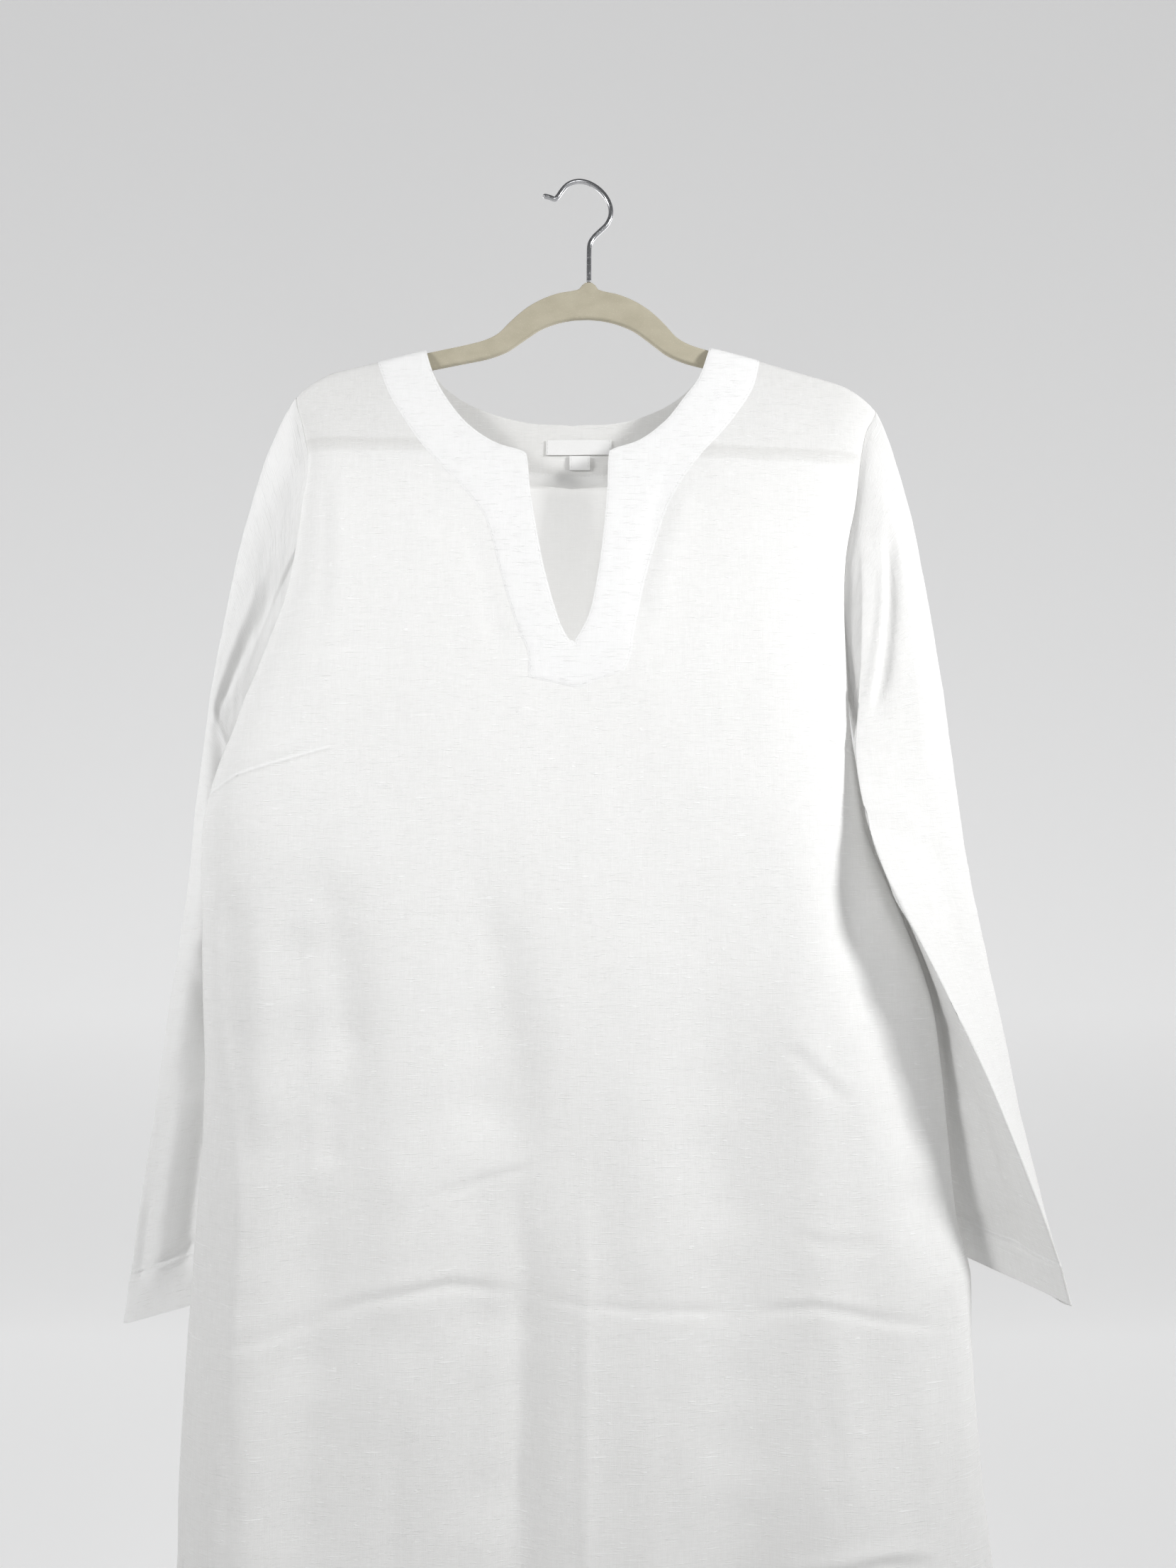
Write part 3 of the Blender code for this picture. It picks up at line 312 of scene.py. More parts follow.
# Creases of the front, pressed or hung in. Columns: half width, height (minus is a trough),
# lean (how much softer the side to the right of its run is), then the line it follows
FRONT_CREASES = (
    (0.0220, -0.0066, 1.0, ((-0.2060, -0.480), (-0.2000, -0.640), (-0.1930, -0.820),
                            (-0.1950, -1.100))),
    (0.0240, 0.0058, 1.0, ((-0.2460, -0.520), (-0.2400, -0.700), (-0.2420, -0.950),
                           (-0.2460, -1.300))),
    (0.0230, -0.0068, 1.0, ((-0.0860, -0.560), (-0.0700, -0.700), (-0.0600, -0.900),
                            (-0.0640, -1.400))),
    (0.0240, 0.0044, 1.0, ((-0.1350, -0.640), (-0.1280, -0.800), (-0.1300, -1.050),
                           (-0.1360, -1.350))),
    (0.0280, -0.0052, 1.0, ((0.0900, -0.600), (0.1040, -0.800), (0.1160, -1.050),
                            (0.1240, -1.350))),
    (0.0260, 0.0040, 1.0, ((0.0420, -0.620), (0.0460, -0.820), (0.0520, -1.100),
                           (0.0540, -1.400))),
    (0.0220, 0.0045, 1.0, ((0.1560, -0.560), (0.1640, -0.700), (0.1760, -0.900),
                           (0.1860, -1.200))),
    (0.0210, -0.0110, 1.4, ((0.1980, -0.500), (0.2030, -0.590), (0.2210, -0.660), (0.2430, -0.735),
                            (0.2620, -0.850))),
    (0.0042, 0.0018, 1.0, ((0.0040, -0.735), (0.0047, -0.86), (0.0050, -1.10), (0.005, -1.48))),
    (0.0100, -0.0027, 2.2, ((-0.079, -0.545), (-0.060, -0.610), (-0.033, -0.730))),
    (0.0060, -0.0030, 1.6, ((-0.0327, -0.725), (-0.0425, -0.765), (-0.0417, -0.838),
                            (-0.0425, -1.03), (-0.046, -1.40))),
    (0.0070, 0.0022, 1.0, ((-0.062, -0.700), (-0.060, -0.80), (-0.064, -1.00), (-0.070, -1.30))),
    (0.0090, -0.0032, 2.0, ((-0.2620, -0.545), (-0.2510, -0.640), (-0.2329, -0.770))),
    (0.0055, 0.0019, 1.0, ((-0.2450, -0.700), (-0.2400, -0.800), (-0.2440, -0.930))),
    (0.0120, -0.0041, 1.8, ((-0.1830, -0.540), (-0.1740, -0.620), (-0.1650, -0.700))),
    (0.0050, -0.0024, 1.5, ((-0.1800, -0.705), (-0.1790, -0.760))),
    (0.0080, 0.0022, 1.3, ((-0.1950, -0.560), (-0.1890, -0.680), (-0.1930, -0.800))),
    (0.0035, -0.0012, 1.6, ((-0.1060, -0.779), (-0.0720, -0.767), (-0.0325, -0.757))),
    (0.0028, 0.0010, 1.8, ((-0.1020, -0.7735), (-0.0700, -0.7620), (-0.0340, -0.7525))),
    (0.0045, -0.0017, 1.7, ((-0.2775, -0.8875), (-0.2300, -0.8760), (-0.1866, -0.8626))),
    (0.0042, -0.0020, 1.8, ((-0.1900, -0.8640), (-0.1499, -0.8486), (-0.0912, -0.8380),
                            (-0.0397, -0.8452))),
    (0.0036, 0.0015, 2.0, ((-0.1850, -0.8560), (-0.1480, -0.8415), (-0.0912, -0.8310),
                           (-0.0450, -0.8380))),
    (0.0030, -0.0014, 1.6, ((-0.0300, -0.8470), (0.0048, -0.8520), (0.0600, -0.8555),
                            (0.1120, -0.8580))),
    (0.0036, -0.0017, 1.8, ((0.1150, -0.8590), (0.1664, -0.8520), (0.2175, -0.8631),
                            (0.2650, -0.8700))),
    (0.0030, 0.0012, 1.8, ((0.1300, -0.8520), (0.1664, -0.8450), (0.2150, -0.8560))),
    (0.0040, 0.0028, 1.5, ((0.1350, -1.0400), (0.1541, -1.0266), (0.2004, -1.0145),
                           (0.2240, -1.0129), (0.2500, -1.0170))),
    (0.0050, -0.0020, 1.0, ((0.1400, -1.0480), (0.1700, -1.0310), (0.2100, -1.0230),
                            (0.2450, -1.0250))),
    (0.0050, -0.0018, 1.4, ((0.1480, -0.6700), (0.1650, -0.6880), (0.1900, -0.7130))),
    (0.0045, 0.0014, 1.2, ((0.1560, -0.6650), (0.1740, -0.6840), (0.1980, -0.7070))),
    (0.0040, -0.0014, 1.6, ((0.1500, -0.8050), (0.1800, -0.8100), (0.2150, -0.8100))),
    (0.0035, 0.0010, 1.6, ((0.1560, -0.7990), (0.1830, -0.8035), (0.2100, -0.8030))),
    (0.0026, -0.0013, 1.4, ((-0.2800, -0.4885), (-0.2544, -0.4742), (-0.2010, -0.4572),
                            (-0.1851, -0.4551))),
    (0.0030, 0.0012, 1.6, ((-0.2780, -0.4830), (-0.2540, -0.4690), (-0.2010, -0.4518))),
    (0.0040, -0.0009, 1.5, ((-0.2100, -0.3840), (-0.1780, -0.3800), (-0.1500, -0.3780))),
    (0.0026, -0.0012, 1.4, ((0.1900, -0.4490), (0.2070, -0.4580))),
    (0.0055, -0.0019, 1.4, ((0.0700, -0.2360), (0.0560, -0.2800), (0.0440, -0.3320),
                            (0.0400, -0.3700))),
    (0.0080, 0.0016, 1.2, ((0.0850, -0.2500), (0.0690, -0.3000), (0.0560, -0.3600))),
    (0.0060, -0.0014, 1.4, ((-0.0850, -0.2800), (-0.0720, -0.3300), (-0.0600, -0.3900))),
    (0.0060, -0.0016, 1.5, ((-0.1960, -0.2350), (-0.1930, -0.3000), (-0.1960, -0.3600))),
    (0.0060, 0.0014, 1.3, ((-0.1850, -0.2500), (-0.1830, -0.3300), (-0.1900, -0.4300))),
    (0.0070, -0.0016, 1.5, ((0.1970, -0.2300), (0.1900, -0.3100), (0.1850, -0.4000))),
    (0.0050, -0.0016, 1.6, ((-0.2500, -0.905), (-0.2420, -0.960), (-0.2450, -1.060))),
    (0.0080, 0.0022, 1.4, ((-0.2650, -0.900), (-0.2640, -1.000), (-0.2680, -1.200))),
    (0.0060, -0.0024, 1.5, ((-0.1280, -0.880), (-0.1300, -0.980), (-0.1360, -1.150))),
    (0.0080, 0.0022, 1.4, ((0.2380, -0.880), (0.2440, -0.960), (0.2480, -1.150))),
    (0.0060, -0.0019, 1.5, ((0.1660, -0.870), (0.1720, -0.930), (0.1800, -1.000))),
    (0.0060, -0.0016, 1.6, ((0.0560, -0.870), (0.0600, -0.960), (0.0680, -1.080))),
)


def crease_relief(creases, x, z):
    """Sum of the creases at a point, outward. Each runs along a line, fades towards its ends,
    wavers in height and falls more gently on one side than on the other."""
    total = 0.0
    for number, (half_width, height, lean, line) in enumerate(creases):
        reach = 3 * half_width * max(lean, 1.0)
        if not (min(p[0] for p in line) - reach < x < max(p[0] for p in line) + reach):
            continue
        if not (min(p[1] for p in line) - reach < z < max(p[1] for p in line) + reach):
            continue
        best = None
        walked = 0.0
        length = sum(math.dist(a, b) for a, b in zip(line, line[1:]))
        for (ax, az), (bx, bz) in zip(line, line[1:]):
            run = math.dist((ax, az), (bx, bz))
            ux = (bx - ax) / run
            uz = (bz - az) / run
            along = min(max((x - ax) * ux + (z - az) * uz, 0.0), run)
            off = math.dist((x, z), (ax + ux * along, az + uz * along))
            turn = (x - ax) * uz - (z - az) * ux
            if best is None or off < best[0]:
                best = (off, turn, (walked + along) / length)
            walked += run
        off, turn, share = best
        width = half_width * (lean if turn < 0 else 1.0)
        ends = smooth(share / 0.22) * smooth((1 - share) / 0.22)
        waver = 0.8 + 0.4 * noise.noise(Vector((share * length * 28, number * 3.7, 0)))
        total += height * (0.12 + 0.88 * ends) * waver * math.exp(-(off / width) ** 2)
    return total


# How far the cloth stands off the dress's middle plane as it comes over the hanger, the drop in
# which it rounds over, and half the gap that a seam leaves
FRONT_STAND = 0.0060
BACK_STAND = 0.0077
SHOULDER_ROUNDING = 0.0070
SEAM_HALF = 0.00015


def body_point(x, z, behind, spread):
    """A point of the body's cloth, on its front or, when behind is true, on its back."""
    drop = max(shoulder_height(x) - z, 0.0)
    stand = quarter_round(drop / SHOULDER_ROUNDING)
    roll = 0.030 + 0.045 * smooth((-0.20 - z) / 0.20)
    turn = quarter_round(min(x - fold_curves[-1](z), fold_curves[1](z) - x) / roll)
    uneven = 0.0011 * noise.noise(Vector((x * 9, z * 7, 3.0 if behind else 0.0)))
    uneven += 0.00045 * noise.noise(Vector((x * 34, z * 22, 5.0 if behind else 1.0)))
    uneven *= smooth(drop / 0.05)
    if behind:
        depth = BACK_STAND * stand + swell_back(drop) + fold_relief(BACK_FOLDS, x, z)
        depth += uneven + crease_relief(BACK_CREASES, x, z)
        return Vector((x, spread + max(depth - spread, 0.0) * turn, z))
    depth = FRONT_STAND * stand + swell_front(drop) + fold_relief(FRONT_FOLDS, x, z)
    depth += uneven + crease_relief(FRONT_CREASES, x, z)
    return Vector((x, -spread - max(depth - spread, 0.0) * turn, z))


def centre_x(z):
    """The middle line below the slit, which drifts to the pressed crease."""
    return -0.0004 + 0.0051 * smooth((-0.4440 - z) / 0.293)


def spread_at(side, z):
    """Half the opening between front and back at a side edge."""
    if edge_curves[side][1](z) > 0.001:
        return 0.0
    return max(edge_curves[side][3](z), SEAM_HALF)


def arch_lift(x, start_x, end_x, number):
    """How far the shoulder line arches over a straight row there. It fades down the rows."""
    if number >= 4 or abs(end_x - start_x) < 1e-6:
        return 0.0
    share = (x - start_x) / (end_x - start_x)
    straight = shoulder_height(start_x) * (1 - share) + shoulder_height(end_x) * share
    return (shoulder_height(x) - straight) * (1 - smooth(number / 4.0))


TIP_ROWS = 0.6


def shoulder_tip(side):
    """The shoulder's tip, where the armhole starts."""
    return tilted(STEM_X + side * TIP_REACH, shoulder_curve(TIP_REACH))


def side_fold(side, side_z, number):
    """Where a row's side fold lies. The first rows run in to the shoulder's tip."""
    fold = fold_curves[side](side_z)
    if number < TIP_ROWS:
        tip = shoulder_tip(side)[0]
        fold = tip + (fold - tip) * smooth(number / TIP_ROWS)
    return fold


def lower_height(table, number):
    """Height of a level row below the underarm, at a row number that may lie between rows."""
    last = len(table) - 1
    heights = [table[-1][0]] + list(LOWER_ROWS)
    t = number - last
    i = min(int(t), len(heights) - 2)
    return heights[i] + (heights[i + 1] - heights[i]) * (t - i)


def front_marks(side, number):
    """Side edge, band edge and neck edge of a row of the front, each as x and z."""
    table = FRONT_TOP[side]
    last = len(table) - 1
    if number <= last:
        side_z, band_x, band_z, neck_x, neck_z = (curve(number) for curve in front_curves[side])
        if number == 0:
            return shoulder_tip(side), (band_x, band_z), (neck_x, neck_z)
    else:
        side_z = lower_height(table, number)
        ease = smooth(number - last)
        band_z = side_z + (table[-1][2] - table[-1][0]) * (1 - ease)
        neck_z = side_z + (table[-1][4] - table[-1][0]) * (1 - ease)
        band_x = table[-1][1] * (1 + 0.6 * (table[-1][2] - band_z))
        neck_x = centre_x(neck_z)
    return (side_fold(side, side_z, number), side_z), (band_x, band_z), (neck_x, neck_z)


SIDE_COLUMNS = 62
BAND_COLUMNS = 13
SIDE_KEYS = ((0, 0.0), (1, 0.007), (2, 0.020), (3, 0.045), (4, 0.10), (5, 0.19), (6, 0.31),
             (7, 0.45), (8, 0.62), (9, 0.81), (10, 1.0))
side_shares = [curve_at([k for k, v in SIDE_KEYS], [v for k, v in SIDE_KEYS],
                        10 * i / (SIDE_COLUMNS - 1)) for i in range(SIDE_COLUMNS)]
band_shares = [(i + 1) / BAND_COLUMNS for i in range(BAND_COLUMNS)]


def front_half_row(side, number):
    """One row of half the front, from the side edge past the band's edge to the neck edge."""
    (fold, side_z), band, neck = front_marks(side, number)
    wrap = edge_curves[side][1](side_z)
    spread = spread_at(side, side_z)
    points = []
    for share in side_shares:
        back = wrap * smooth(1 - share / 0.07) ** 1.3
        inward = abs(band[0] - fold) * share - back
        x = fold - side * abs(inward)
        z = side_z + (band[1] - side_z) * share + arch_lift(x, fold, band[0], number)
        points.append(body_point(x, z, inward < 0, spread))
    for share in band_shares:
        x = band[0] + (neck[0] - band[0]) * share
        z = band[1] + (neck[1] - band[1]) * share + arch_lift(x, band[0], neck[0], number)
        points.append(body_point(x, z, False, SEAM_HALF))
    return points


# Heights between which sharp creases lie across the cloth, so its rows are closer there
PRESSED = ((-0.746, -0.786), (-0.826, -0.886), (-1.008, -1.050))


def row_numbers(rows_above, step, fine_step):
    """Row numbers of a shell: close together over the shoulder, then down the cloth."""
    numbers = [0, 0.02, 0.05, 0.09, 0.14, 0.20, 0.28, 0.38, 0.50, 0.62, 0.75, 0.88]
    for row in range(1, rows_above - 1):
        numbers += [row + k / 5 for k in range(5)]
    heights = [-0.437] + list(LOWER_ROWS)
    for i, (top, bottom) in enumerate(zip(heights, heights[1:])):
        z = top
        while z > bottom + 0.0008:
            numbers.append(rows_above - 1 + i + (top - z) / (top - bottom))
            pressed = any(high > z > low for high, low in PRESSED)
            z -= fine_step if pressed else step
    return numbers + [rows_above - 1 + len(LOWER_ROWS)]


def find_normals(points, faces):
    """Normals at a mesh's points, from its four-cornered faces."""
    normals = [Vector((0, 0, 0)) for _ in points]
    for a, b, c, d in faces:
        across = (points[c] - points[a]).cross(points[d] - points[b])
        for index in (a, b, c, d):
            normals[index] += across
    return [n.normalized() if n.length > 0 else Vector((0, -1, 0)) for n in normals]


class Shell:
    """A panel's shell: its mesh points in rows and its faces."""

    def __init__(self, half_row, numbers, open_rows, facing_front):
        self.numbers = numbers
        self.half = len(half_row(-1, 1.0))
        self.width = 2 * self.half
        self.points = []
        self.index = {}
        self.faces = []
        self.cells = {}
        for r, number in enumerate(numbers):
            row = half_row(-1, number) + half_row(1, number)[::-1]
            for c, point in enumerate(row):
                if number >= open_rows and c == self.half:
                    self.index[(r, c)] = self.index[(r, c - 1)]
                    continue
                self.index[(r, c)] = len(self.points)
                self.points.append(point)
        for r in range(len(numbers) - 1):
            for c in range(self.width - 1):
                if c == self.half - 1:
                    continue
                corners = (self.index[(r, c)], self.index[(r + 1, c)],
                           self.index[(r + 1, c + 1)], self.index[(r, c + 1)])
                self.cells[(r, c)] = corners if facing_front else corners[::-1]
                self.faces.append(self.cells[(r, c)])
        self.normals = find_normals(self.points, self.faces)

    def row_at(self, number):
        """The shell's first row at or below a table row."""
        return min(r for r, n in enumerate(self.numbers) if n >= number - 1e-6)

    def edge(self, side, r):
        """A side edge's point."""
        return self.points[self.index[(r, 0 if side < 0 else self.width - 1)]]


def cloth_object(name, points, faces, coords, wall, edge=None, one_sided=False):
    """A thin shell of cloth. Coords are its places in the cloth, in metres, across and along
    the weave; edge is each point's distance from its nearest sewn edge. A one sided shell shows
    its wall's thickness at its edges alone."""
    used = sorted({index for face in faces for index in face})
    place = {index: i for i, index in enumerate(used)}
    mesh = bpy.data.meshes.new(name)
    mesh.from_pydata([tuple(points[i]) for i in used], [],
                     [tuple(place[i] for i in face) for face in faces])
    mesh.shade_smooth()
    sides = Counter(key for face in mesh.polygons for key in face.edge_keys)
    for side in mesh.edges:
        side.use_edge_sharp = sides[side.key] == 1
    layer = mesh.uv_layers.new(name="cloth")
    for loop in mesh.loops:
        layer.data[loop.index].uv = coords[used[loop.vertex_index]]
    if edge is not None:
        far = mesh.attributes.new("edge", "FLOAT", "POINT")
        for i, index in enumerate(used):
            far.data[i].value = edge[index]
    made = placed(name, mesh)
    if wall > 0:
        solidify = made.modifiers.new("wall", "SOLIDIFY")
        solidify.thickness = wall
        solidify.offset = -1.0
        solidify.use_rim_only = one_sided
    return made


# Columns: start x and z, end x and z, half width, height
BACK_FOLDS = (
    (-0.105, -0.420, -0.090, -1.600, 0.035, 0.0030),
    (0.020, -0.520, 0.030, -1.600, 0.030, -0.0030),
    (0.120, -0.480, 0.130, -1.600, 0.035, 0.0032),
)
# Creases of the back, like those of the front: packing creases across and soft hanging folds
BACK_CREASES = (
    (0.0045, -0.0014, 1.7, ((-0.2700, -0.868), (-0.1800, -0.852), (-0.0900, -0.858),
                            (0.0000, -0.846))),
    (0.0040, -0.0012, 1.7, ((0.0200, -0.846), (0.1100, -0.856), (0.1900, -0.848),
                            (0.2600, -0.860))),
    (0.0036, 0.0010, 1.8, ((-0.1700, -0.845), (-0.0900, -0.850), (-0.0200, -0.839))),
    (0.0042, 0.0013, 1.0, ((0.0050, -0.660), (0.0052, -0.90), (0.0050, -1.20), (0.005, -1.48))),
    (0.0090, -0.0022, 2.0, ((-0.0900, -0.420), (-0.0750, -0.560), (-0.0600, -0.760))),
    (0.0060, -0.0018, 1.6, ((-0.0500, -0.740), (-0.0540, -0.960), (-0.0600, -1.380))),
    (0.0100, -0.0022, 1.8, ((0.0950, -0.400), (0.0860, -0.540), (0.0720, -0.700))),
    (0.0060, -0.0015, 1.6, ((0.1500, -0.700), (0.1560, -0.930), (0.1640, -1.300))),
    (0.0080, 0.0015, 1.3, ((-0.1500, -0.520), (-0.1560, -0.760), (-0.1700, -1.100))),
    (0.0080, 0.0014, 1.3, ((0.1900, -0.560), (0.2040, -0.800), (0.2180, -1.150))),
    (0.0045, -0.0012, 1.5, ((-0.1000, -0.230), (-0.0500, -0.2850), (-0.0150, -0.360))),
    (0.0045, -0.0010, 1.5, ((0.0950, -0.235), (0.0520, -0.2900), (0.0220, -0.360))),
    (0.0040, 0.0016, 1.5, ((-0.2000, -1.180), (-0.1400, -1.165), (-0.0800, -1.175))),
    (0.0040, -0.0013, 1.5, ((0.0600, -1.215), (0.1400, -1.200), (0.2200, -1.218))),
)

front = Shell(front_half_row, row_numbers(17, 0.0046, 0.0022), SLIT_END_ROW, True)


def cloth_coords(shell):
    """Places in the cloth of a panel that hangs along its own grain."""
    return [(p.x, p.z) for p in shell.points]


def side_distances(shell):
    """Each point's distance from its panel's nearest side edge."""
    distances = [0.0] * len(shell.points)
    for (r, c), index in shell.index.items():
        side = -1 if c < shell.half else 1
        distances[index] = abs(shell.points[index].x - shell.edge(side, r).x)
    return distances


CLOTH_WALL = 0.0007
front_piece = cloth_object("dress_front_cloth", front.points, front.faces, cloth_coords(front),
                           CLOTH_WALL, side_distances(front), True)


class Term:
    """A value in a material's nodes. Arithmetic on it adds Math nodes."""

    def __init__(self, tree, socket):
        self.tree = tree
        self.socket = socket

    def math(self, operation, *values):
        """A Math node whose first input is this value."""
        made = self.tree.nodes.new("ShaderNodeMath")
        made.operation = operation
        for slot, value in zip(made.inputs, (self,) + values):
            if isinstance(value, Term):
                self.tree.links.new(value.socket, slot)
            else:
                slot.default_value = value
        return Term(self.tree, made.outputs[0])

    def __add__(self, other):
        return self.math("ADD", other)

    def __radd__(self, other):
        return self.math("ADD", other)

    def __sub__(self, other):
        return self.math("SUBTRACT", other)

    def __rsub__(self, other):
        return self.math("MULTIPLY", -1.0).math("ADD", other)

    def __mul__(self, other):
        return self.math("MULTIPLY", other)

    def __rmul__(self, other):
        return self.math("MULTIPLY", other)

    def between(self, low, high):
        """A smooth step from 0 at low to 1 at high."""
        step = (self - low) * (1.0 / (high - low))
        step = step.math("MINIMUM", 1.0).math("MAXIMUM", 0.0)
        return step * step * (3.0 - 2.0 * step)


class Finish:
    """A material with a Principled shader, built node by node."""

    def __init__(self, name, **constants):
        self.material = bpy.data.materials.new(name)
        self.material.use_nodes = True
        self.tree = self.material.node_tree
        self.shader = self.tree.nodes["Principled BSDF"]
        for key, value in constants.items():
            self.shader.inputs[key.replace("_", " ")].default_value = value

    def add(self, kind, inputs, output=0, **settings):
        """A node of any kind, with its settings and what its inputs take."""
        made = self.tree.nodes.new(kind)
        for key, value in settings.items():
            setattr(made, key, value)
        for key, value in inputs.items():
            if isinstance(value, Term):
                self.tree.links.new(value.socket, made.inputs[key])
            else:
                made.inputs[key].default_value = value
        return Term(self.tree, made.outputs[output])

    def feed(self, **inputs):
        """Join values to the shader's inputs."""
        for key, value in inputs.items():
            self.tree.links.new(value.socket, self.shader.inputs[key.replace("_", " ")])

    def axes(self, place, *numbers):
        """Some of a place's axes, each as a value: 0 is x, 1 is y and 2 is z."""
        return [self.add("ShaderNodeSeparateXYZ", {"Vector": place}, output=n) for n in numbers]

    def cloth_places(self):
        """Places across and along the cloth, and the distance from the nearest sewn edge."""
        u, v = self.axes(self.add("ShaderNodeUVMap", {}, uv_map="cloth"), 0, 1)
        return u, v, self.add("ShaderNodeAttribute", {}, output=2, attribute_name="edge")

    def noise(self, x, y, x_scale, y_scale, seed, detail=2.0):
        """Noise stretched by its own scale on each of two axes."""
        place = self.add("ShaderNodeCombineXYZ", {"X": x * x_scale, "Y": y * y_scale, "Z": seed})
        return self.add("ShaderNodeTexNoise",
                        {"Vector": place, "Scale": 1.0, "Detail": detail, "Roughness": 0.55})

    def tone(self, factor, low, high):
        """A colour between two, by a factor."""
        return self.add("ShaderNodeMix", {0: factor, 6: low + (1.0,), 7: high + (1.0,)}, output=2,
                        data_type="RGBA")

    def bump(self, height, distance, strength=1.0):
        """A normal from a height."""
        return self.add("ShaderNodeBump",
                        {"Height": height, "Distance": distance, "Strength": strength})

    def glow_through(self, share, colour):
        """Let a share of the light pass through the cloth."""
        through = self.add("ShaderNodeBsdfTranslucent", {"Color": colour + (1.0,)})
        surface = Term(self.tree, self.shader.outputs[0])
        mixed = self.add("ShaderNodeMixShader", {0: share, 1: surface, 2: through})
        target = self.tree.nodes["Material Output"].inputs["Surface"]
        self.tree.links.new(mixed.socket, target)


STITCH_PITCH = 0.0030


def stitches(distance, along, place):
    """A line of machine stitches at a distance from an edge: 1 on the thread, 0 elsewhere."""
    line = (distance - place).math("ABSOLUTE").between(0.00042, 0.00022)
    dash = (along * (2 * math.pi / STITCH_PITCH)).math("SINE").between(-0.55, 0.1)
    return line * dash


def line_mask(u, v, start, end, width):
    """Closeness to a straight line in the cloth: 1 on it, 0 a width away."""
    run = math.dist(start, end)
    across = (end[0] - start[0]) / run
    up = (end[1] - start[1]) / run
    x = u - start[0]
    z = v - start[1]
    along = (x * across + z * up).math("MAXIMUM", 0.0).math("MINIMUM", run)
    x_off = x - along * across
    z_off = z - along * up
    return (x_off * x_off + z_off * z_off).math("SQRT").between(width, 0.0)


THREAD_PITCH = 0.00075
LINEN_DARK = (0.736, 0.733, 0.720)
LINEN_PALE = (0.972, 0.973, 0.971)
LINEN_GLOW = (0.95, 0.945, 0.925)
LINEN_RELIEF = 0.00042


def linen(name, detail, brightness=0.0, sheer=0.14):
    """Plain woven slub linen. Its threads run along the cloth's own two directions. Detail
    gives what one piece adds: a shift of tone and a height, from its places and edge. Sheer is
    the share of light that passes through."""
    finish = Finish(name, Roughness=0.9, Sheen_Weight=0.12, Sheen_Roughness=0.5)
    u, v, edge = finish.cloth_places()
    weft = finish.noise(u, v, 75.0, 1250.0, 1.0)
    warp = finish.noise(u, v, 1250.0, 75.0, 4.0)
    coarse = finish.noise(u, v, 26.0, 420.0, 7.0, 1.0)
    upright = finish.noise(u, v, 460.0, 22.0, 9.0, 1.0)
    slub = finish.noise(u, v, 120.0, 1020.0, 12.0, 0.0).between(0.69, 0.77)
    long_slub = finish.noise(u, v, 38.0, 900.0, 15.0, 0.0).between(0.71, 0.77)
    knot = finish.noise(u, v, 900.0, 210.0, 18.0, 0.0).between(0.72, 0.78)
    cloud = finish.noise(u, v, 11.0, 9.0, 21.0, 3.0)
    mottle = finish.noise(u, v, 150.0, 140.0, 24.0, 2.0)
    turns = 2 * math.pi / THREAD_PITCH
    weave = (u * turns).math("SINE") * (v * turns).math("SINE")
    tone, height = detail(finish, u, v, edge)
    shade = 0.60 + brightness + 0.36 * (weft - 0.5) + 0.36 * (warp - 0.5)
    shade = shade + 0.10 * (coarse - 0.5) + 0.14 * (upright - 0.5) + 0.12 * (mottle - 0.5)
    shade = shade + 0.36 * slub + 0.36 * long_slub + 0.12 * knot + 0.20 * (cloud - 0.5) + tone
    finish.feed(Base_Color=finish.tone(shade, LINEN_DARK, LINEN_PALE))
    relief = 0.5 * weft + 0.4 * warp + 0.5 * slub + 0.4 * long_slub + 0.15 * coarse
    relief = relief + 0.10 * weave + 0.15 * mottle + height
    finish.feed(Normal=finish.bump(relief, LINEN_RELIEF, 0.75))
    finish.feed(Roughness=0.86 + 0.10 * weft)
    finish.glow_through(sheer, LINEN_GLOW)
    return finish.material


# Bust darts, each a sewn line that runs in from the side. Columns: start, end
DARTS = (((-0.2800, -0.4885), (-0.2544, -0.4742)), ((-0.2544, -0.4742), (-0.1851, -0.4551)),
         ((0.2100, -0.4590), (0.1880, -0.4480)))


# Top of the side slits, how far in they and the hem are stitched, and where the painted shade of
# the facing's hem,
# seen through the front, lies: its height at the middle and its slope
SIDE_SLIT_Z = -1.030
SLIT_STITCH = 0.0090
HEM_STITCH = HEM_DEPTH - 0.0015
SHADOW_Z = -0.2235
SHADOW_SLOPE = 0.028


def slit_and_hem(u, v, edge):
    """The stitches beside a panel's side slits, and those along its hem."""
    below = v.between(SIDE_SLIT_Z + 0.002, SIDE_SLIT_Z - 0.001)
    return stitches(edge, v, SLIT_STITCH) * below, stitches(v, u, HEM_Z + HEM_STITCH)


def front_detail(finish, u, v, edge):
    """The facing behind shows through the front's shoulders as painted shade, and its hem as a
    beige band of painted shade. The side slits and the hem are turned and stitched, and the darts
    are sewn, each lighter along its line with a painted shadow just below."""
    # Painted shade: the shoulders above the facing's hem line are darkened, and more so in a band
    # along that line, away from the middle.
    line = v - SHADOW_Z + SHADOW_SLOPE * u
    shade_above = line.between(-0.004, 0.003)
    wander = 0.002 * finish.noise(u, v, 40.0, 0.0, 31.0)
    hem = (line + wander - 0.001).math("ABSOLUTE").between(0.0072, 0.0036)
    reach = u.math("ABSOLUTE").between(0.050, 0.075)
    slit, turned = slit_and_hem(u, v, edge)
    tone = -0.20 * shade_above - 0.30 * hem * reach - 0.10 * slit - 0.10 * turned
    height = 0.8 * slit + 0.8 * turned
    # Each dart is lighter along its sewn line, with a painted shadow just below it.
    for start, end in DARTS:
        dart = line_mask(u, v, start, end, 0.0022)
        dart_shadow = line_mask(u, v + 0.0022, start, end, 0.0022)
        tone = tone + 0.24 * dart - 0.16 * dart_shadow
        height = height + 1.5 * dart
    return tone, height


front_piece.data.materials.append(linen("linen_front", front_detail, -0.06))


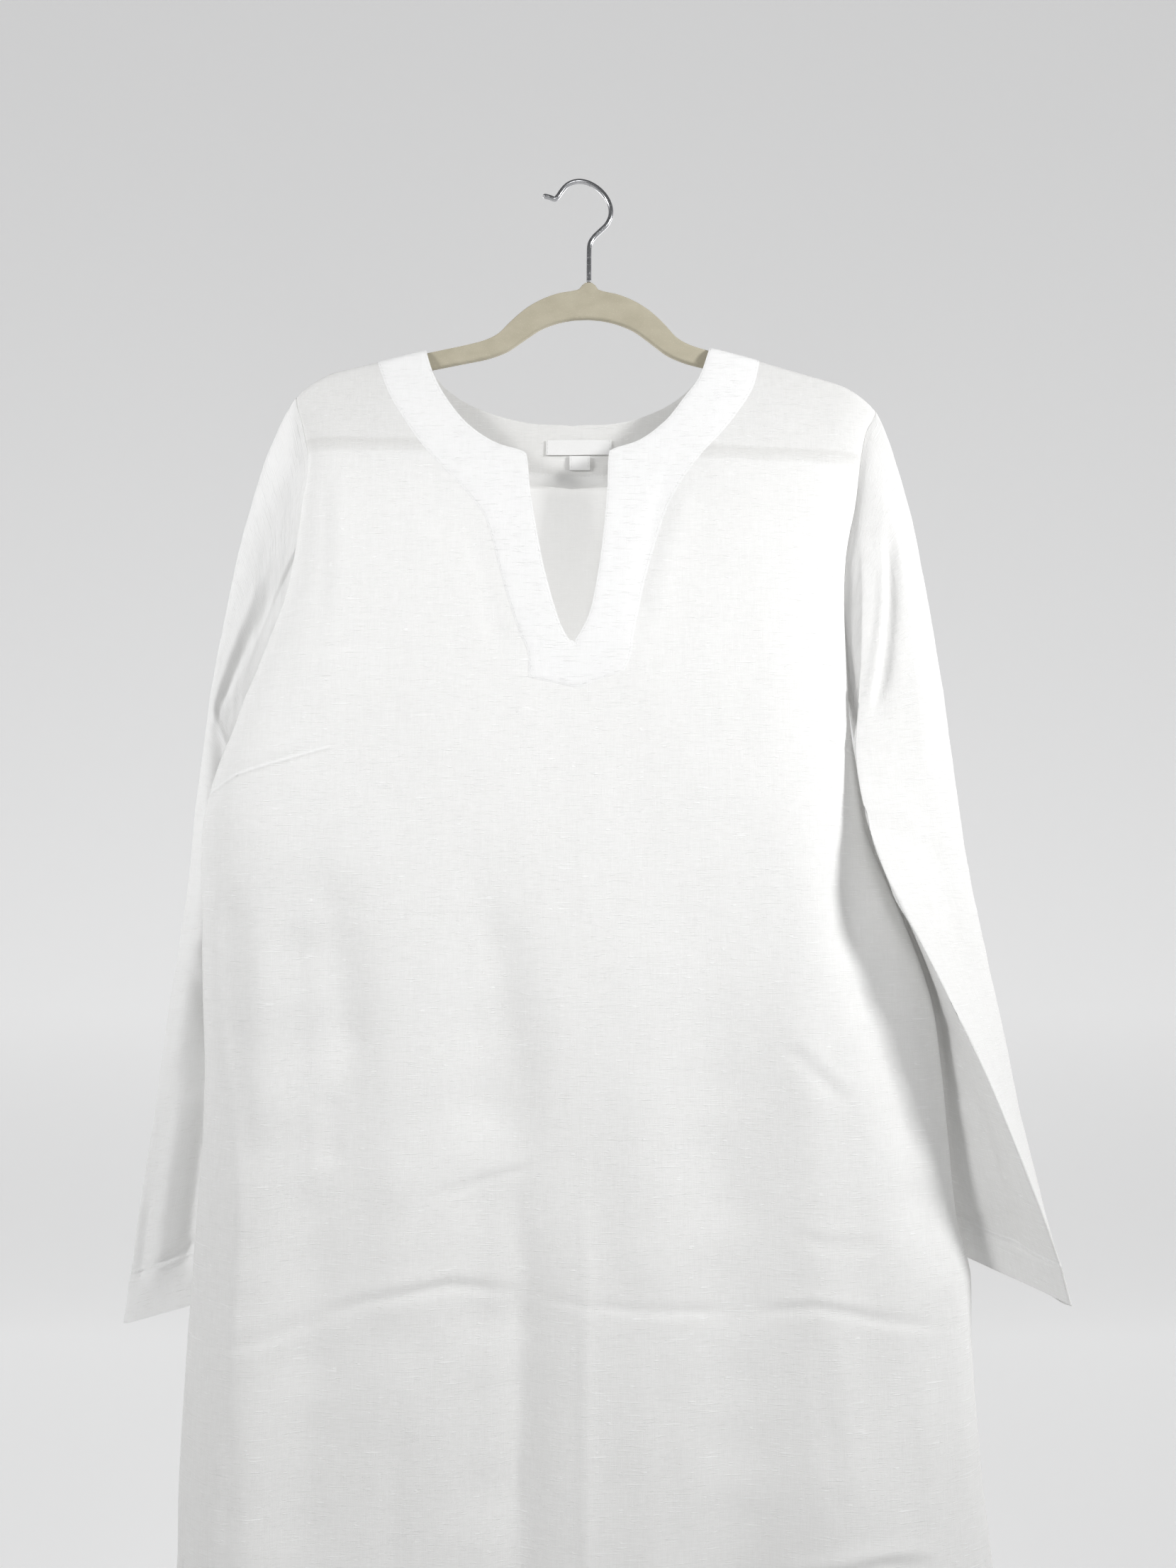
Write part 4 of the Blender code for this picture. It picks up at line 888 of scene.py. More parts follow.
# Back panel. The same linen, with a shallow round neck, hung flat behind the front and sewn to
# it over the shoulders and down both sides as far as the side slits.
# Columns: height at the side, neck edge x and z
BACK_TOP = {
    -1: (
        (-0.1762, -0.1205, -0.1385),
        (-0.1850, -0.1125, -0.1590),
        (-0.1910, -0.0935, -0.1755),
        (-0.1970, -0.0675, -0.1875),
        (-0.2020, -0.0370, -0.1950),
        (-0.2070, -0.0060, -0.1970),
        (-0.2160, -0.0058, -0.2375),
        (-0.2260, -0.0056, -0.2475),
        (-0.2700, -0.0050, -0.2800),
        (-0.3250, -0.0040, -0.3270),
        (-0.3800, -0.0030, -0.3800),
        (-0.4300, -0.0012, -0.4250),
        (-0.4370, -0.0010, -0.4370),
    ),
    1: (
        (-0.1872, 0.1020, -0.1367),
        (-0.1950, 0.0915, -0.1610),
        (-0.2000, 0.0725, -0.1782),
        (-0.2060, 0.0475, -0.1900),
        (-0.2110, 0.0230, -0.1952),
        (-0.2160, -0.0060, -0.1970),
        (-0.2235, -0.0058, -0.2375),
        (-0.2335, -0.0056, -0.2475),
        (-0.2700, -0.0050, -0.2800),
        (-0.3200, -0.0040, -0.3270),
        (-0.3700, -0.0030, -0.3800),
        (-0.4080, -0.0012, -0.4250),
        (-0.4150, -0.0010, -0.4370),
    ),
}
BACK_NECK_ROW = 5
FACING_END_ROW = 7
BACK_START_ROW = 0.28
BACK_UNDERARM_ROW = 12
back_curves = {side: [Curve(BACK_TOP[side], c, True) for c in range(3)] for side in (-1, 1)}


def back_half_row(side, number):
    """One row of half the back, from the side edge to the neck edge."""
    table = BACK_TOP[side]
    last = len(table) - 1
    if number <= last:
        side_z, neck_x, neck_z = (curve(number) for curve in back_curves[side])
    else:
        side_z = lower_height(table, number)
        ease = smooth(number - last)
        neck_z = side_z + (table[-1][2] - table[-1][0]) * (1 - ease)
        neck_x = centre_x(neck_z)
    fold = side_fold(side, side_z, number)
    inset = edge_curves[side][1](side_z) + edge_curves[side][2](side_z)
    spread = spread_at(side, side_z)
    points = []
    for share in side_shares:
        inward = inset + (abs(neck_x - fold) - inset) * share
        x = fold - side * inward
        z = side_z + (neck_z - side_z) * share + arch_lift(x, fold, neck_x, number)
        points.append(body_point(x, z, True, spread))
    return points


back = Shell(back_half_row, row_numbers(13, 0.0058, 0.0026), BACK_NECK_ROW, False)
back_piece = cloth_object("dress_back_cloth", back.points, back.faces, cloth_coords(back),
                          CLOTH_WALL, side_distances(back), True)


# Neck band. A second layer of linen laid on the front, stitched down along its outer edge and
# turned over the neck and slit edges, so it is whiter and a little stiffer.
def moved(shell, shifts):
    """A shell's points moved along its normals."""
    return [p + n * s for p, n, s in zip(shell.points, shell.normals, shifts)]


BAND_ROUNDING = 0.0022
BAND_EDGE_LIFT = 0.0001
BAND_LIFT = 0.0005
BAND_WALL = 0.0002
band_first = len(side_shares) - 1
band_faces = []
band_shifts = [0.0] * len(front.points)
band_edges = [1.0] * len(front.points)
band_rows = front.row_at(BAND_END_ROW)
for (r, c), corners in front.cells.items():
    if r < band_rows and band_first <= c < front.width - 1 - band_first:
        band_faces.append(corners)
for (r, c), index in front.index.items():
    inside = min(c, front.width - 1 - c) - band_first
    if inside < 0 or r > band_rows:
        continue
    side = -1 if c < front.half else 1
    outer = front.points[front.index[(r, band_first if side < 0 else
                                      front.width - 1 - band_first)]]
    inner = front.points[front.index[(r, front.half - 1 if side < 0 else front.half)]]
    point = front.points[index]
    to_end = (point - front.points[front.index[(band_rows, c)]]).length
    to_outer = min((point - outer).length, to_end)
    to_inner = (point - inner).length if front.numbers[r] < SLIT_END_ROW + 0.3 else 1.0
    rise = quarter_round(min(to_outer, to_inner) / BAND_ROUNDING)
    band_shifts[index] = BAND_EDGE_LIFT + BAND_LIFT * rise
    band_edges[index] = min(to_outer, to_inner)
band_piece = cloth_object("neck_band_cloth", moved(front, band_shifts), band_faces,
                          cloth_coords(front), BAND_WALL, band_edges)


# Back facing. A deep shaped facing of the same linen inside the back, sewn in at the neck. Its
# lower edge has a doubled, stitched hem.
FACING_STAND = 0.0027
FACING_HEM = 0.0092
FACING_HEM_BULGE = 0.0014
FACING_HEM_ROUNDING = 0.0030
FACING_WALL = 0.0005
facing_faces = []
facing_shifts = [0.0] * len(back.points)
facing_edges = [1.0] * len(back.points)
facing_first = back.row_at(BACK_START_ROW)
facing_last = back.row_at(FACING_END_ROW)
facing_margin = 18
for (r, c), corners in back.cells.items():
    if facing_first <= r < facing_last and facing_margin <= c < back.width - 1 - facing_margin:
        facing_faces.append(corners[::-1])
for (r, c), index in back.index.items():
    if r > facing_last:
        continue
    point = back.points[index]
    to_end = (point - back.points[back.index[(facing_last, c)]]).length
    hem = FACING_HEM_BULGE * quarter_round(to_end / FACING_HEM_ROUNDING)
    hem *= 1 - smooth((to_end - FACING_HEM + 0.0006) / FACING_HEM_ROUNDING)
    facing_shifts[index] = -FACING_STAND - hem
    facing_edges[index] = to_end
facing_piece = cloth_object("back_facing_cloth", moved(back, facing_shifts), facing_faces,
                            cloth_coords(back), FACING_WALL, facing_edges)


def back_detail(finish, u, v, edge):
    """The facing shows through the back's shoulders as painted shade. The slits and hem are
    stitched.
    """
    hem_z = BACK_TOP[1][FACING_END_ROW][2]
    line = v - hem_z - 0.10 * (u + 0.005).math("ABSOLUTE")
    # Painted shade: the shoulders above the facing's hem line are darkened.
    shade_above = line.between(-0.002, 0.003)
    slit, turned = slit_and_hem(u, v, edge)
    row = stitches(line, u, 0.0095)
    tone = -0.12 * shade_above - 0.10 * slit - 0.10 * turned - 0.08 * row
    return tone, 0.8 * slit + 0.8 * turned + 0.6 * row


def band_detail(finish, u, v, edge):
    """The band's turned edges are stitched down close to their rims, and painted a little darker
    right at the rims, as shade.
    """
    row = stitches(edge, v, 0.0016)
    # Painted shade along the band's rims.
    rim_shade = edge.between(0.0012, 0.0)
    return -0.06 * row - 0.02 * rim_shade, 0.5 * row


def facing_detail(finish, u, v, edge):
    """The facing's lower hem is doubled and stitched along its top. The doubled strip is whiter
    for its two layers, and is painted lighter still, as a highlight where the rounded hem catches
    the light.
    """
    row = stitches(edge, u, FACING_HEM)
    # Partly the doubled layer's own whiteness, partly a painted highlight on the rounded hem.
    doubled = edge.between(FACING_HEM + 0.0010, FACING_HEM + 0.0004)
    return 0.90 * doubled - 0.20 * row, 0.8 * row


# The back's linen is painted lighter than the front's: painted light that brightens the shaded
# inside seen through the neck slit.
back_piece.data.materials.append(linen("linen_back_painted_light", back_detail, 0.20, 0.46))
band_piece.data.materials.append(linen("linen_band", band_detail, 0.34, 0.12))
facing_piece.data.materials.append(linen("linen_facing", facing_detail, -0.05, 0.32))


# Sleeves. Each is one piece, seamed underneath and set into the armhole between front and
# back. The left one lies flat behind the body; the right one has its pressed crease turned
# to the front, and its inner ply runs in behind the body.

# Columns: outer fold, ridge, corner and inner fold, each as x, y, z
SLEEVES = {
    -1: (
        ((-0.2880, 0.0180, -0.405), (-0.277, 0.0175, -0.428), (-0.268, 0.0168, -0.446),
         (-0.248, 0.0165, -0.454)),
        ((-0.2932, 0.0185, -0.452), (-0.270, 0.0175, -0.470), (-0.250, 0.0178, -0.482),
         (-0.230, 0.0180, -0.487)),
        ((-0.2980, 0.0195, -0.506), (-0.262, 0.0180, -0.515), (-0.230, 0.0188, -0.521),
         (-0.203, 0.0195, -0.523)),
        ((-0.3030, 0.0200, -0.561), (-0.257, 0.0185, -0.562), (-0.217, 0.0195, -0.562),
         (-0.180, 0.0205, -0.561)),
        ((-0.3090, 0.0205, -0.612), (-0.262, 0.0185, -0.608), (-0.216, 0.0198, -0.604),
         (-0.171, 0.0210, -0.600)),
        ((-0.3160, 0.0210, -0.662), (-0.270, 0.0180, -0.655), (-0.222, 0.0195, -0.650),
         (-0.175, 0.0210, -0.644)),
        ((-0.3210, 0.0215, -0.708), (-0.276, 0.0185, -0.699), (-0.228, 0.0200, -0.692),
         (-0.180, 0.0215, -0.686)),
        ((-0.3275, 0.0220, -0.757), (-0.282, 0.0190, -0.747), (-0.234, 0.0200, -0.738),
         (-0.187, 0.0215, -0.728)),
        ((-0.3335, 0.0225, -0.806), (-0.289, 0.0190, -0.794), (-0.242, 0.0205, -0.782),
         (-0.196, 0.0220, -0.770)),
        ((-0.3380, 0.0230, -0.843), (-0.294, 0.0190, -0.830), (-0.248, 0.0205, -0.818),
         (-0.203, 0.0220, -0.806)),
        ((-0.3395, 0.0230, -0.856), (-0.296, 0.0190, -0.843), (-0.251, 0.0208, -0.831),
         (-0.206, 0.0225, -0.819)),
        ((-0.3426, 0.0235, -0.884), (-0.299, 0.0195, -0.871), (-0.255, 0.0210, -0.859),
         (-0.211, 0.0225, -0.847)),
    ),
    1: (
        ((0.2835, 0.0120, -0.410), (0.2090, -0.030, -0.428), (0.2130, -0.010, -0.438),
         (0.2115, 0.0070, -0.447)),
        ((0.2890, 0.0140, -0.456), (0.2050, -0.034, -0.463), (0.2160, 0.003, -0.470),
         (0.2105, 0.0140, -0.477)),
        ((0.2950, 0.0160, -0.508), (0.2100, -0.038, -0.512), (0.2225, 0.0115, -0.514),
         (0.2060, 0.0210, -0.516)),
        ((0.3030, 0.0180, -0.557), (0.2230, -0.042, -0.558), (0.2390, 0.0125, -0.558),
         (0.2100, 0.0220, -0.558)),
        ((0.3120, 0.0200, -0.604), (0.2450, -0.044, -0.602), (0.2560, 0.0125, -0.601),
         (0.2160, 0.0225, -0.600)),
        ((0.3210, 0.0210, -0.650), (0.2670, -0.045, -0.648), (0.2690, 0.0125, -0.645),
         (0.2210, 0.0225, -0.642)),
        ((0.3300, 0.0230, -0.698), (0.2880, -0.045, -0.693), (0.2735, 0.0125, -0.688),
         (0.2250, 0.0230, -0.682)),
        ((0.3400, 0.0250, -0.746), (0.3070, -0.044, -0.740), (0.2775, 0.0125, -0.731),
         (0.2320, 0.0230, -0.722)),
        ((0.3500, 0.0270, -0.792), (0.3240, -0.042, -0.784), (0.2810, 0.0130, -0.771),
         (0.2380, 0.0230, -0.758)),
        ((0.3575, 0.0280, -0.830), (0.3370, -0.039, -0.820), (0.2900, 0.0130, -0.804),
         (0.2440, 0.0235, -0.788)),
        ((0.3595, 0.0285, -0.842), (0.3400, -0.038, -0.830), (0.2920, 0.0130, -0.813),
         (0.2460, 0.0235, -0.796)),
        ((0.3640, 0.0295, -0.870), (0.3455, -0.035, -0.850), (0.2940, 0.0130, -0.834),
         (0.2500, 0.0240, -0.818)),
    ),
}
CUFF_HEM = 0.038
RIDGE_SHARE = 0.36
CORNER_SHARE = 0.68
CAP_BULGE = {-1: 0.013, 1: 0.009}
SLEEVE_PUFF = 0.0050
CAP_RINGS = 44
LENGTH_RINGS = 96
SEAM_GAP = 0.0003
WRAP_FADE = 0.006


def station_point(station, share, behind):
    """A point of a sleeve's section. Share runs from the outer fold to the inner one."""
    outer, ridge, corner, inner = station
    puff = Vector((0, SLEEVE_PUFF * quarter_round(min(share, 1 - share) / 0.12), 0))
    if behind:
        return outer.lerp(inner, share) + puff
    if share <= RIDGE_SHARE:
        return outer.lerp(ridge, share / RIDGE_SHARE) - puff
    if share <= CORNER_SHARE:
        return ridge.lerp(corner, (share - RIDGE_SHARE) / (CORNER_SHARE - RIDGE_SHARE)) - puff
    return corner.lerp(inner, (share - CORNER_SHARE) / (1 - CORNER_SHARE)) - puff


def shares_along(points):
    """How far along a line each of its points lies, from 0 to 1."""
    lengths = [0.0]
    for a, b in zip(points, points[1:]):
        lengths.append(lengths[-1] + (b - a).length)
    return [length / lengths[-1] for length in lengths]


def armhole(side):
    """Where a sleeve starts: down the front's edge and up the back's. Each entry holds the
    point, its share of the way round and whether it lies behind."""
    front_rows = range(0, front.row_at(UNDERARM[side]) + 1)
    back_rows = range(back.row_at(BACK_START_ROW), back.row_at(BACK_UNDERARM_ROW))
    front_edge = [front.edge(side, r) for r in front_rows]
    back_edge = [back.edge(side, r) for r in back_rows]
    entries = []
    for i, (point, share) in enumerate(zip(front_edge, shares_along(front_edge))):
        wrap = abs(point.x - fold_curves[side](point.z))
        step = Vector((side * SEAM_GAP * (1 - min(wrap / WRAP_FADE, 1.0)), 2 * SEAM_GAP, 0))
        step = step.lerp(Vector((side * 2 * SEAM_GAP, 0, 0)), 1 - smooth(i / 6))
        entries.append((point + step, share, False))
    shares = shares_along([front_edge[0]] + back_edge + [front_edge[-1]])[1:-1]
    for point, share in reversed(list(zip(back_edge, shares))):
        inset = min(abs(point.x - fold_curves[side](point.z)) / WRAP_FADE, 1.0)
        step = Vector((side * SEAM_GAP * (1 + inset), -2 * SEAM_GAP * (1 - inset), 0))
        entries.append((point + step, share, True))
    return entries


# Creases of the sleeves. Columns: share of the way along from the bicep to the cuff, slope
# across the sleeve, half length of the share, first and last share across, depth
SLEEVE_CREASES = {
    -1: (
        (0.05, 0.10, 0.010, 0.00, 0.60, 0.0012), (0.18, 0.06, 0.014, 0.10, 1.00, -0.0014),
        (0.26, -0.22, 0.013, 0.00, 0.60, 0.0024), (0.50, 0.30, 0.013, 0.00, 0.75, -0.0036),
        (0.60, 0.10, 0.012, 0.02, 0.95, 0.0022), (0.78, -0.16, 0.010, 0.00, 0.80, -0.0022),
        (0.86, 0.05, 0.008, 0.00, 0.60, 0.0008),
    ),
    1: (
        (0.02, -0.16, 0.012, 0.30, 0.90, 0.0013), (0.14, -0.22, 0.014, 0.05, 0.60, -0.0016),
        (0.30, 0.10, 0.012, 0.00, 0.50, 0.0010), (0.47, 0.18, 0.013, 0.25, 0.90, -0.0014),
        (0.62, -0.14, 0.012, 0.40, 1.00, 0.0013), (0.78, 0.10, 0.010, 0.45, 1.00, -0.0014),
        (0.90, 0.06, 0.007, 0.36, 0.95, 0.0009),
    ),
}


# Folds that run down a sleeve's front. Columns: place along and share across at their start
# and at their end, half width as a share, height
LONG_FOLDS = {
    -1: ((-0.40, 0.50, 0.06, 0.22, 0.060, -0.0020), (-0.36, 0.34, 0.10, 0.10, 0.060, 0.0020),
         (0.02, 0.13, 0.62, 0.13, 0.080, 0.0045), (0.00, 0.28, 0.66, 0.30, 0.060, -0.0040),
         (0.50, 0.16, 0.985, 0.22, 0.070, 0.0042), (0.48, 0.32, 0.975, 0.38, 0.050, -0.0045),
         (0.66, 0.06, 0.94, 0.09, 0.040, -0.0024)),
    1: ((-0.34, 0.14, 0.05, 0.30, 0.034, -0.0040), (-0.30, 0.22, 0.02, 0.335, 0.022, 0.0024),
        (0.08, 0.12, 0.50, 0.16, 0.060, -0.0024), (0.55, 0.50, 0.95, 0.54, 0.040, -0.0030)),
}


def fold_height(folds, along, share):
    """Height of the long folds at a place on a sleeve's front."""
    total = 0.0
    for start, start_share, end, end_share, half, height in folds:
        t = (along - start) / (end - start)
        if 0 < t < 1:
            middle = start_share + (end_share - start_share) * t
            fade = smooth(t / 0.3) * smooth((1 - t) / 0.3)
            total += height * fade * math.exp(-((share - middle) / half) ** 2)
    return total


def sleeve_relief(side, along, share, behind):
    """Height of a sleeve's folds, creases and unevenness at a place in its cloth."""
    total = 0.0007 * noise.noise(Vector((along * 9, share * 3, side * 4 + behind * 2)))
    total += 0.0004 * noise.noise(Vector((along * 26, share * 9, side * 7 + behind * 3)))
    if not behind:
        total += fold_height(LONG_FOLDS[side], along, share)
    shift = 0.07 if behind else 0.0
    for place, slope, half, start, end, depth in SLEEVE_CREASES[side]:
        across = (share - start) / (end - start)
        if 0 < across < 1:
            off = along - place - shift - slope * (share - 0.5)
            width = half if off < 0 else 1.9 * half
            total += depth * smooth(across / 0.3) * smooth((1 - across) / 0.3) \
                * math.exp(-(off / width) ** 2)
    return total


def fine_stations(side, count):
    """A sleeve's sections, drawn in smoothly between the table's."""
    table = SLEEVES[side]
    keys = list(range(len(table)))
    fine = []
    for i in range(count + 1):
        number = (len(table) - 1) * i / count
        fine.append([Vector([curve_at(keys, [row[p][axis] for row in table], number)
                             for axis in range(3)]) for p in range(4)])
    return fine


# The cap lies flatter beside the body than its solid: the share of its stand past a depth that
# is taken away, fading out over the first part of the sleeve's length
CALM_SHARE = 0.68
CALM_DEPTH = -0.006
CALM_REACH = 0.30


def sleeve_rings(side, entries):
    """Rings of a sleeve's surface from the armhole to the cuff."""
    stations = fine_stations(side, LENGTH_RINGS)
    rings = []
    for k in range(CAP_RINGS):
        blend = k / CAP_RINGS
        ring = []
        for begin, share, behind in entries:
            end = station_point(stations[0], share, behind)
            point = begin.lerp(end, blend)
            point.y = begin.y + (end.y - begin.y) * (1 - (1 - blend) ** 2.5)
            bulge = CAP_BULGE[side] * math.cos(min(share / 0.7, 1.0) * math.pi / 2) ** 2
            point.x += side * bulge * math.sin(math.pi * blend ** 0.7)
            ring.append(point)
        rings.append(ring)
    for station in stations:
        rings.append([station_point(station, share, behind) for begin, share, behind in entries])
    for r, ring in enumerate(rings):
        calm = CALM_SHARE * (1 - smooth((r - CAP_RINGS) / (LENGTH_RINGS * CALM_REACH)))
        for point in ring:
            point.y += max(CALM_DEPTH - point.y, 0.0) * calm
    return rings


def soften(rings, times):
    """Round a sleeve's rings off a little, both round and along, keeping its two ends."""
    for _ in range(times):
        softer = [list(ring) for ring in rings]
        for r in range(1, len(rings) - 1):
            ring = rings[r]
            for c in range(len(ring)):
                beside = ring[c - 1] + ring[(c + 1) % len(ring)]
                along = rings[r - 1][c] + rings[r + 1][c]
                softer[r][c] = ring[c] * 0.5 + (beside + along) * 0.125
        rings = softer
    return rings


def sleeve(name, side):
    """A sleeve's shell, open at the armhole and the cuff."""
    entries = armhole(side)
    rings = soften(sleeve_rings(side, entries), times=3)
    width = len(entries)
    faces = []
    points = [p for ring in rings for p in ring]
    for r in range(len(rings) - 1):
        for c in range(width):
            n = (c + 1) % width
            corners = (r * width + c, (r + 1) * width + c, (r + 1) * width + n, r * width + n)
            faces.append(corners if side < 0 else corners[::-1])
    normals = find_normals(points, faces)
    coords = []
    edges = []
    moved_points = []
    around = [0.0]
    middle = rings[CAP_RINGS + LENGTH_RINGS // 2]
    for a, b in zip(middle, middle[1:]):
        around.append(around[-1] + (b - a).length)
    lengths = shares_along([ring[0] for ring in rings])
    total = sum((b[0] - a[0]).length for a, b in zip(rings, rings[1:]))
    for r, ring in enumerate(rings):
        along = (r - CAP_RINGS) / LENGTH_RINGS
        settled = smooth(r / 10) * smooth((len(rings) - 1 - r) / 6)
        for c, point in enumerate(ring):
            share, behind = entries[c][1:]
            rise = sleeve_relief(side, along, share, behind) * settled
            moved_points.append(point + normals[r * width + c] * rise)
            coords.append((around[c], -lengths[r] * total))
            edges.append((1 - lengths[r]) * total)
    return cloth_object(name, moved_points, faces, coords, CLOTH_WALL, edges, True)


sleeve_left_piece = sleeve("sleeve_left_cloth", -1)
sleeve_right_piece = sleeve("sleeve_right_cloth", 1)


def sleeve_detail(finish, u, v, edge):
    """The cuff's hem is doubled and stitched, so it is whiter."""
    row = stitches(edge, u, CUFF_HEM)
    doubled = edge.between(CUFF_HEM + 0.0006, CUFF_HEM - 0.0006)
    seam = (edge - CUFF_HEM).math("ABSOLUTE").between(0.0022, 0.0006)
    return 0.10 * doubled + 0.26 * seam - 0.12 * row, 0.9 * row + 0.3 * doubled + 1.2 * seam


# The left sleeve's linen is painted lighter and the right one's darker: painted light on the left
# sleeve, which lies in the body's shadow, and painted shade on the right one, which faces the main
# light.
sleeve_left_piece.data.materials.append(linen("linen_sleeve_left_painted_light", sleeve_detail, 0.30, 0.20))
sleeve_right_piece.data.materials.append(linen("linen_sleeve_right_painted_shade", sleeve_detail, -0.26, 0.10))


# Labels. A woven satin main label sewn to the facing by its ends, and a small looped size
# label caught under its lower edge. Both are bare.
# Columns: left edge, width, top, height
MAIN_LABEL = (-0.0265, 0.0515, -0.2088, 0.0120)
SIZE_LABEL = (-0.0080, 0.0160, -0.2214, 0.0118)
LABEL_GAP = 0.0010


def label_y(x, z):
    """Depth at which a label lies, just clear of the facing's inner side."""
    return body_point(x, z, True, 0.0).y - FACING_STAND - LABEL_GAP


def grid_faces(rows, columns):
    """Faces of a grid whose points run row by row."""
    return [(r * columns + c, (r + 1) * columns + c, (r + 1) * columns + c + 1,
             r * columns + c + 1) for r in range(rows - 1) for c in range(columns - 1)]


def main_label():
    """The main label: flat, with its ends turned under and its long edges a little wavy."""
    left, width, top, height = MAIN_LABEL
    rows = 15
    columns = 61
    points = []
    coords = []
    edges = []
    for r in range(rows):
        t = r / (rows - 1)
        for c in range(columns):
            s = c / (columns - 1)
            x = left + width * s
            z = top - height * t + 0.0006 * s
            ends = quarter_round(min(s, 1 - s) / 0.02)
            lift = 0.0004 * ends + 0.0003 * math.sin(9 * s + 1.0) * (t - 0.5)
            points.append(Vector((x, label_y(x, z) - lift, z)))
            coords.append((x, z))
            edges.append(width * min(s, 1 - s))
    return cloth_object("neck_label_cloth", points, grid_faces(rows, columns), coords, 0.0003,
                        edges)


def size_label():
    """The size label: a folded loop that bellies out a little and hangs from the main label."""
    left, width, top, height = SIZE_LABEL
    rows = 33
    columns = 25
    points = []
    coords = []
    edges = []
    for r in range(rows):
        turn = r / (rows - 1)
        down = 1 - abs(2 * turn - 1)
        fold = math.sqrt(max(1 - (2 * min(turn, 1 - turn)) ** 6, 0.0))
        front_side = 1 if turn < 0.5 else -1
        for c in range(columns):
            s = c / (columns - 1)
            x = left + width * s
            z = top - height * down
            belly = (0.0002 + 0.0005 * math.sin(math.pi * down * 0.8)) * fold * front_side
            points.append(Vector((x, label_y(x, z) - 0.0005 - belly, z)))
            coords.append((x, z))
            edges.append(width * min(s, 1 - s))
    return cloth_object("size_label_cloth", points, grid_faces(rows, columns), coords, 0.0,
                        edges)


def satin(name):
    """Woven satin: close upright floats with a soft shine and bound ends."""
    finish = Finish(name, Roughness=0.55, Sheen_Weight=0.25)
    u, v, edge = finish.cloth_places()
    floats = finish.noise(u, v, 3200.0, 380.0, 2.0)
    cloud = finish.noise(u, v, 90.0, 160.0, 5.0)
    row = stitches(edge, v, 0.0014)
    shade = 0.55 + 0.5 * (floats - 0.5) + 0.4 * (cloud - 0.5) - 0.5 * row
    finish.feed(Base_Color=finish.tone(shade, (0.70, 0.70, 0.69), (0.86, 0.86, 0.855)))
    finish.feed(Normal=finish.bump(floats + 1.5 * row, 0.00012, 0.7))
    return finish.material


satin_white = satin("label_satin")
neck_label_piece = main_label()
size_label_piece = size_label()
neck_label_piece.data.materials.append(satin_white)
size_label_piece.data.materials.append(satin_white)


# Hanger. A moulded body with an arch and two straight arms, flocked all over in beige velvet.
# It is symmetrical about its stem and turned a little.
# Columns: distance from the stem, top edge, bottom edge
HANGER = (
    (0.000, -0.0824, -0.1123),
    (0.004, -0.0828, -0.1125),
    (0.0065, -0.0872, -0.1127),
    (0.012, -0.0893, -0.1132),
    (0.024, -0.0918, -0.1160),
    (0.036, -0.0966, -0.1210),
    (0.046, -0.1025, -0.1279),
    (0.054, -0.1090, -0.1340),
    (0.062, -0.1170, -0.1398),
    (0.070, -0.1256, -0.1436),
    (0.080, -0.1312, -0.1470),
    (0.095, -0.1358, -0.1505),
    (0.126, -0.1435, -0.1578),
    (0.160, -0.1530, -0.1672),
    (0.187, -0.1604, -0.1745),
    (0.199, -0.1640, -0.1780),
    (0.2045, -0.1669, -0.1790),
    (0.208, -0.1706, -0.1778),
)
HANGER_REACH = HANGER[-1][0]
HANGER_STEPS = 130
HANGER_HALF_DEPTH = 0.0027
HANGER_CORNER = 0.0022
hanger_top = Curve(HANGER, 1)
hanger_bottom = Curve(HANGER, 2)


def hanger_section(x, top, bottom):
    """Ring of one upright section, a flat bar with well rounded corners."""
    corner = min(HANGER_CORNER, (top - bottom) / 2.2)
    ring = []
    for y_side, z_side, start in ((1, 1, 0), (-1, 1, 90), (-1, -1, 180), (1, -1, 270)):
        middle_z = top - corner if z_side > 0 else bottom + corner
        for step in range(7):
            angle = math.radians(start + 15 * step)
            world_x, world_z = tilted(x, middle_z + corner * math.sin(angle))
            y = y_side * (HANGER_HALF_DEPTH - corner) + corner * math.cos(angle)
            ring.append(Vector((world_x, y, world_z)))
    return ring


def smooth_object(name, points, faces, material):
    """A smoothly shaded mesh of one material."""
    mesh = bpy.data.meshes.new(name)
    mesh.from_pydata(points, [], faces)
    mesh.materials.append(material)
    mesh.shade_smooth()
    return placed(name, mesh)


def tube(name, rings, material):
    """A closed body through rings of points."""
    count = len(rings[0])
    points = [tuple(p) for ring in rings for p in ring]
    faces = [tuple(range(count - 1, -1, -1))]
    for r in range(len(rings) - 1):
        for c in range(count):
            n = (c + 1) % count
            faces.append((r * count + c, r * count + n, (r + 1) * count + n, (r + 1) * count + c))
    end = (len(rings) - 1) * count
    faces.append(tuple(end + i for i in range(count)))
    return smooth_object(name, points, faces, material)


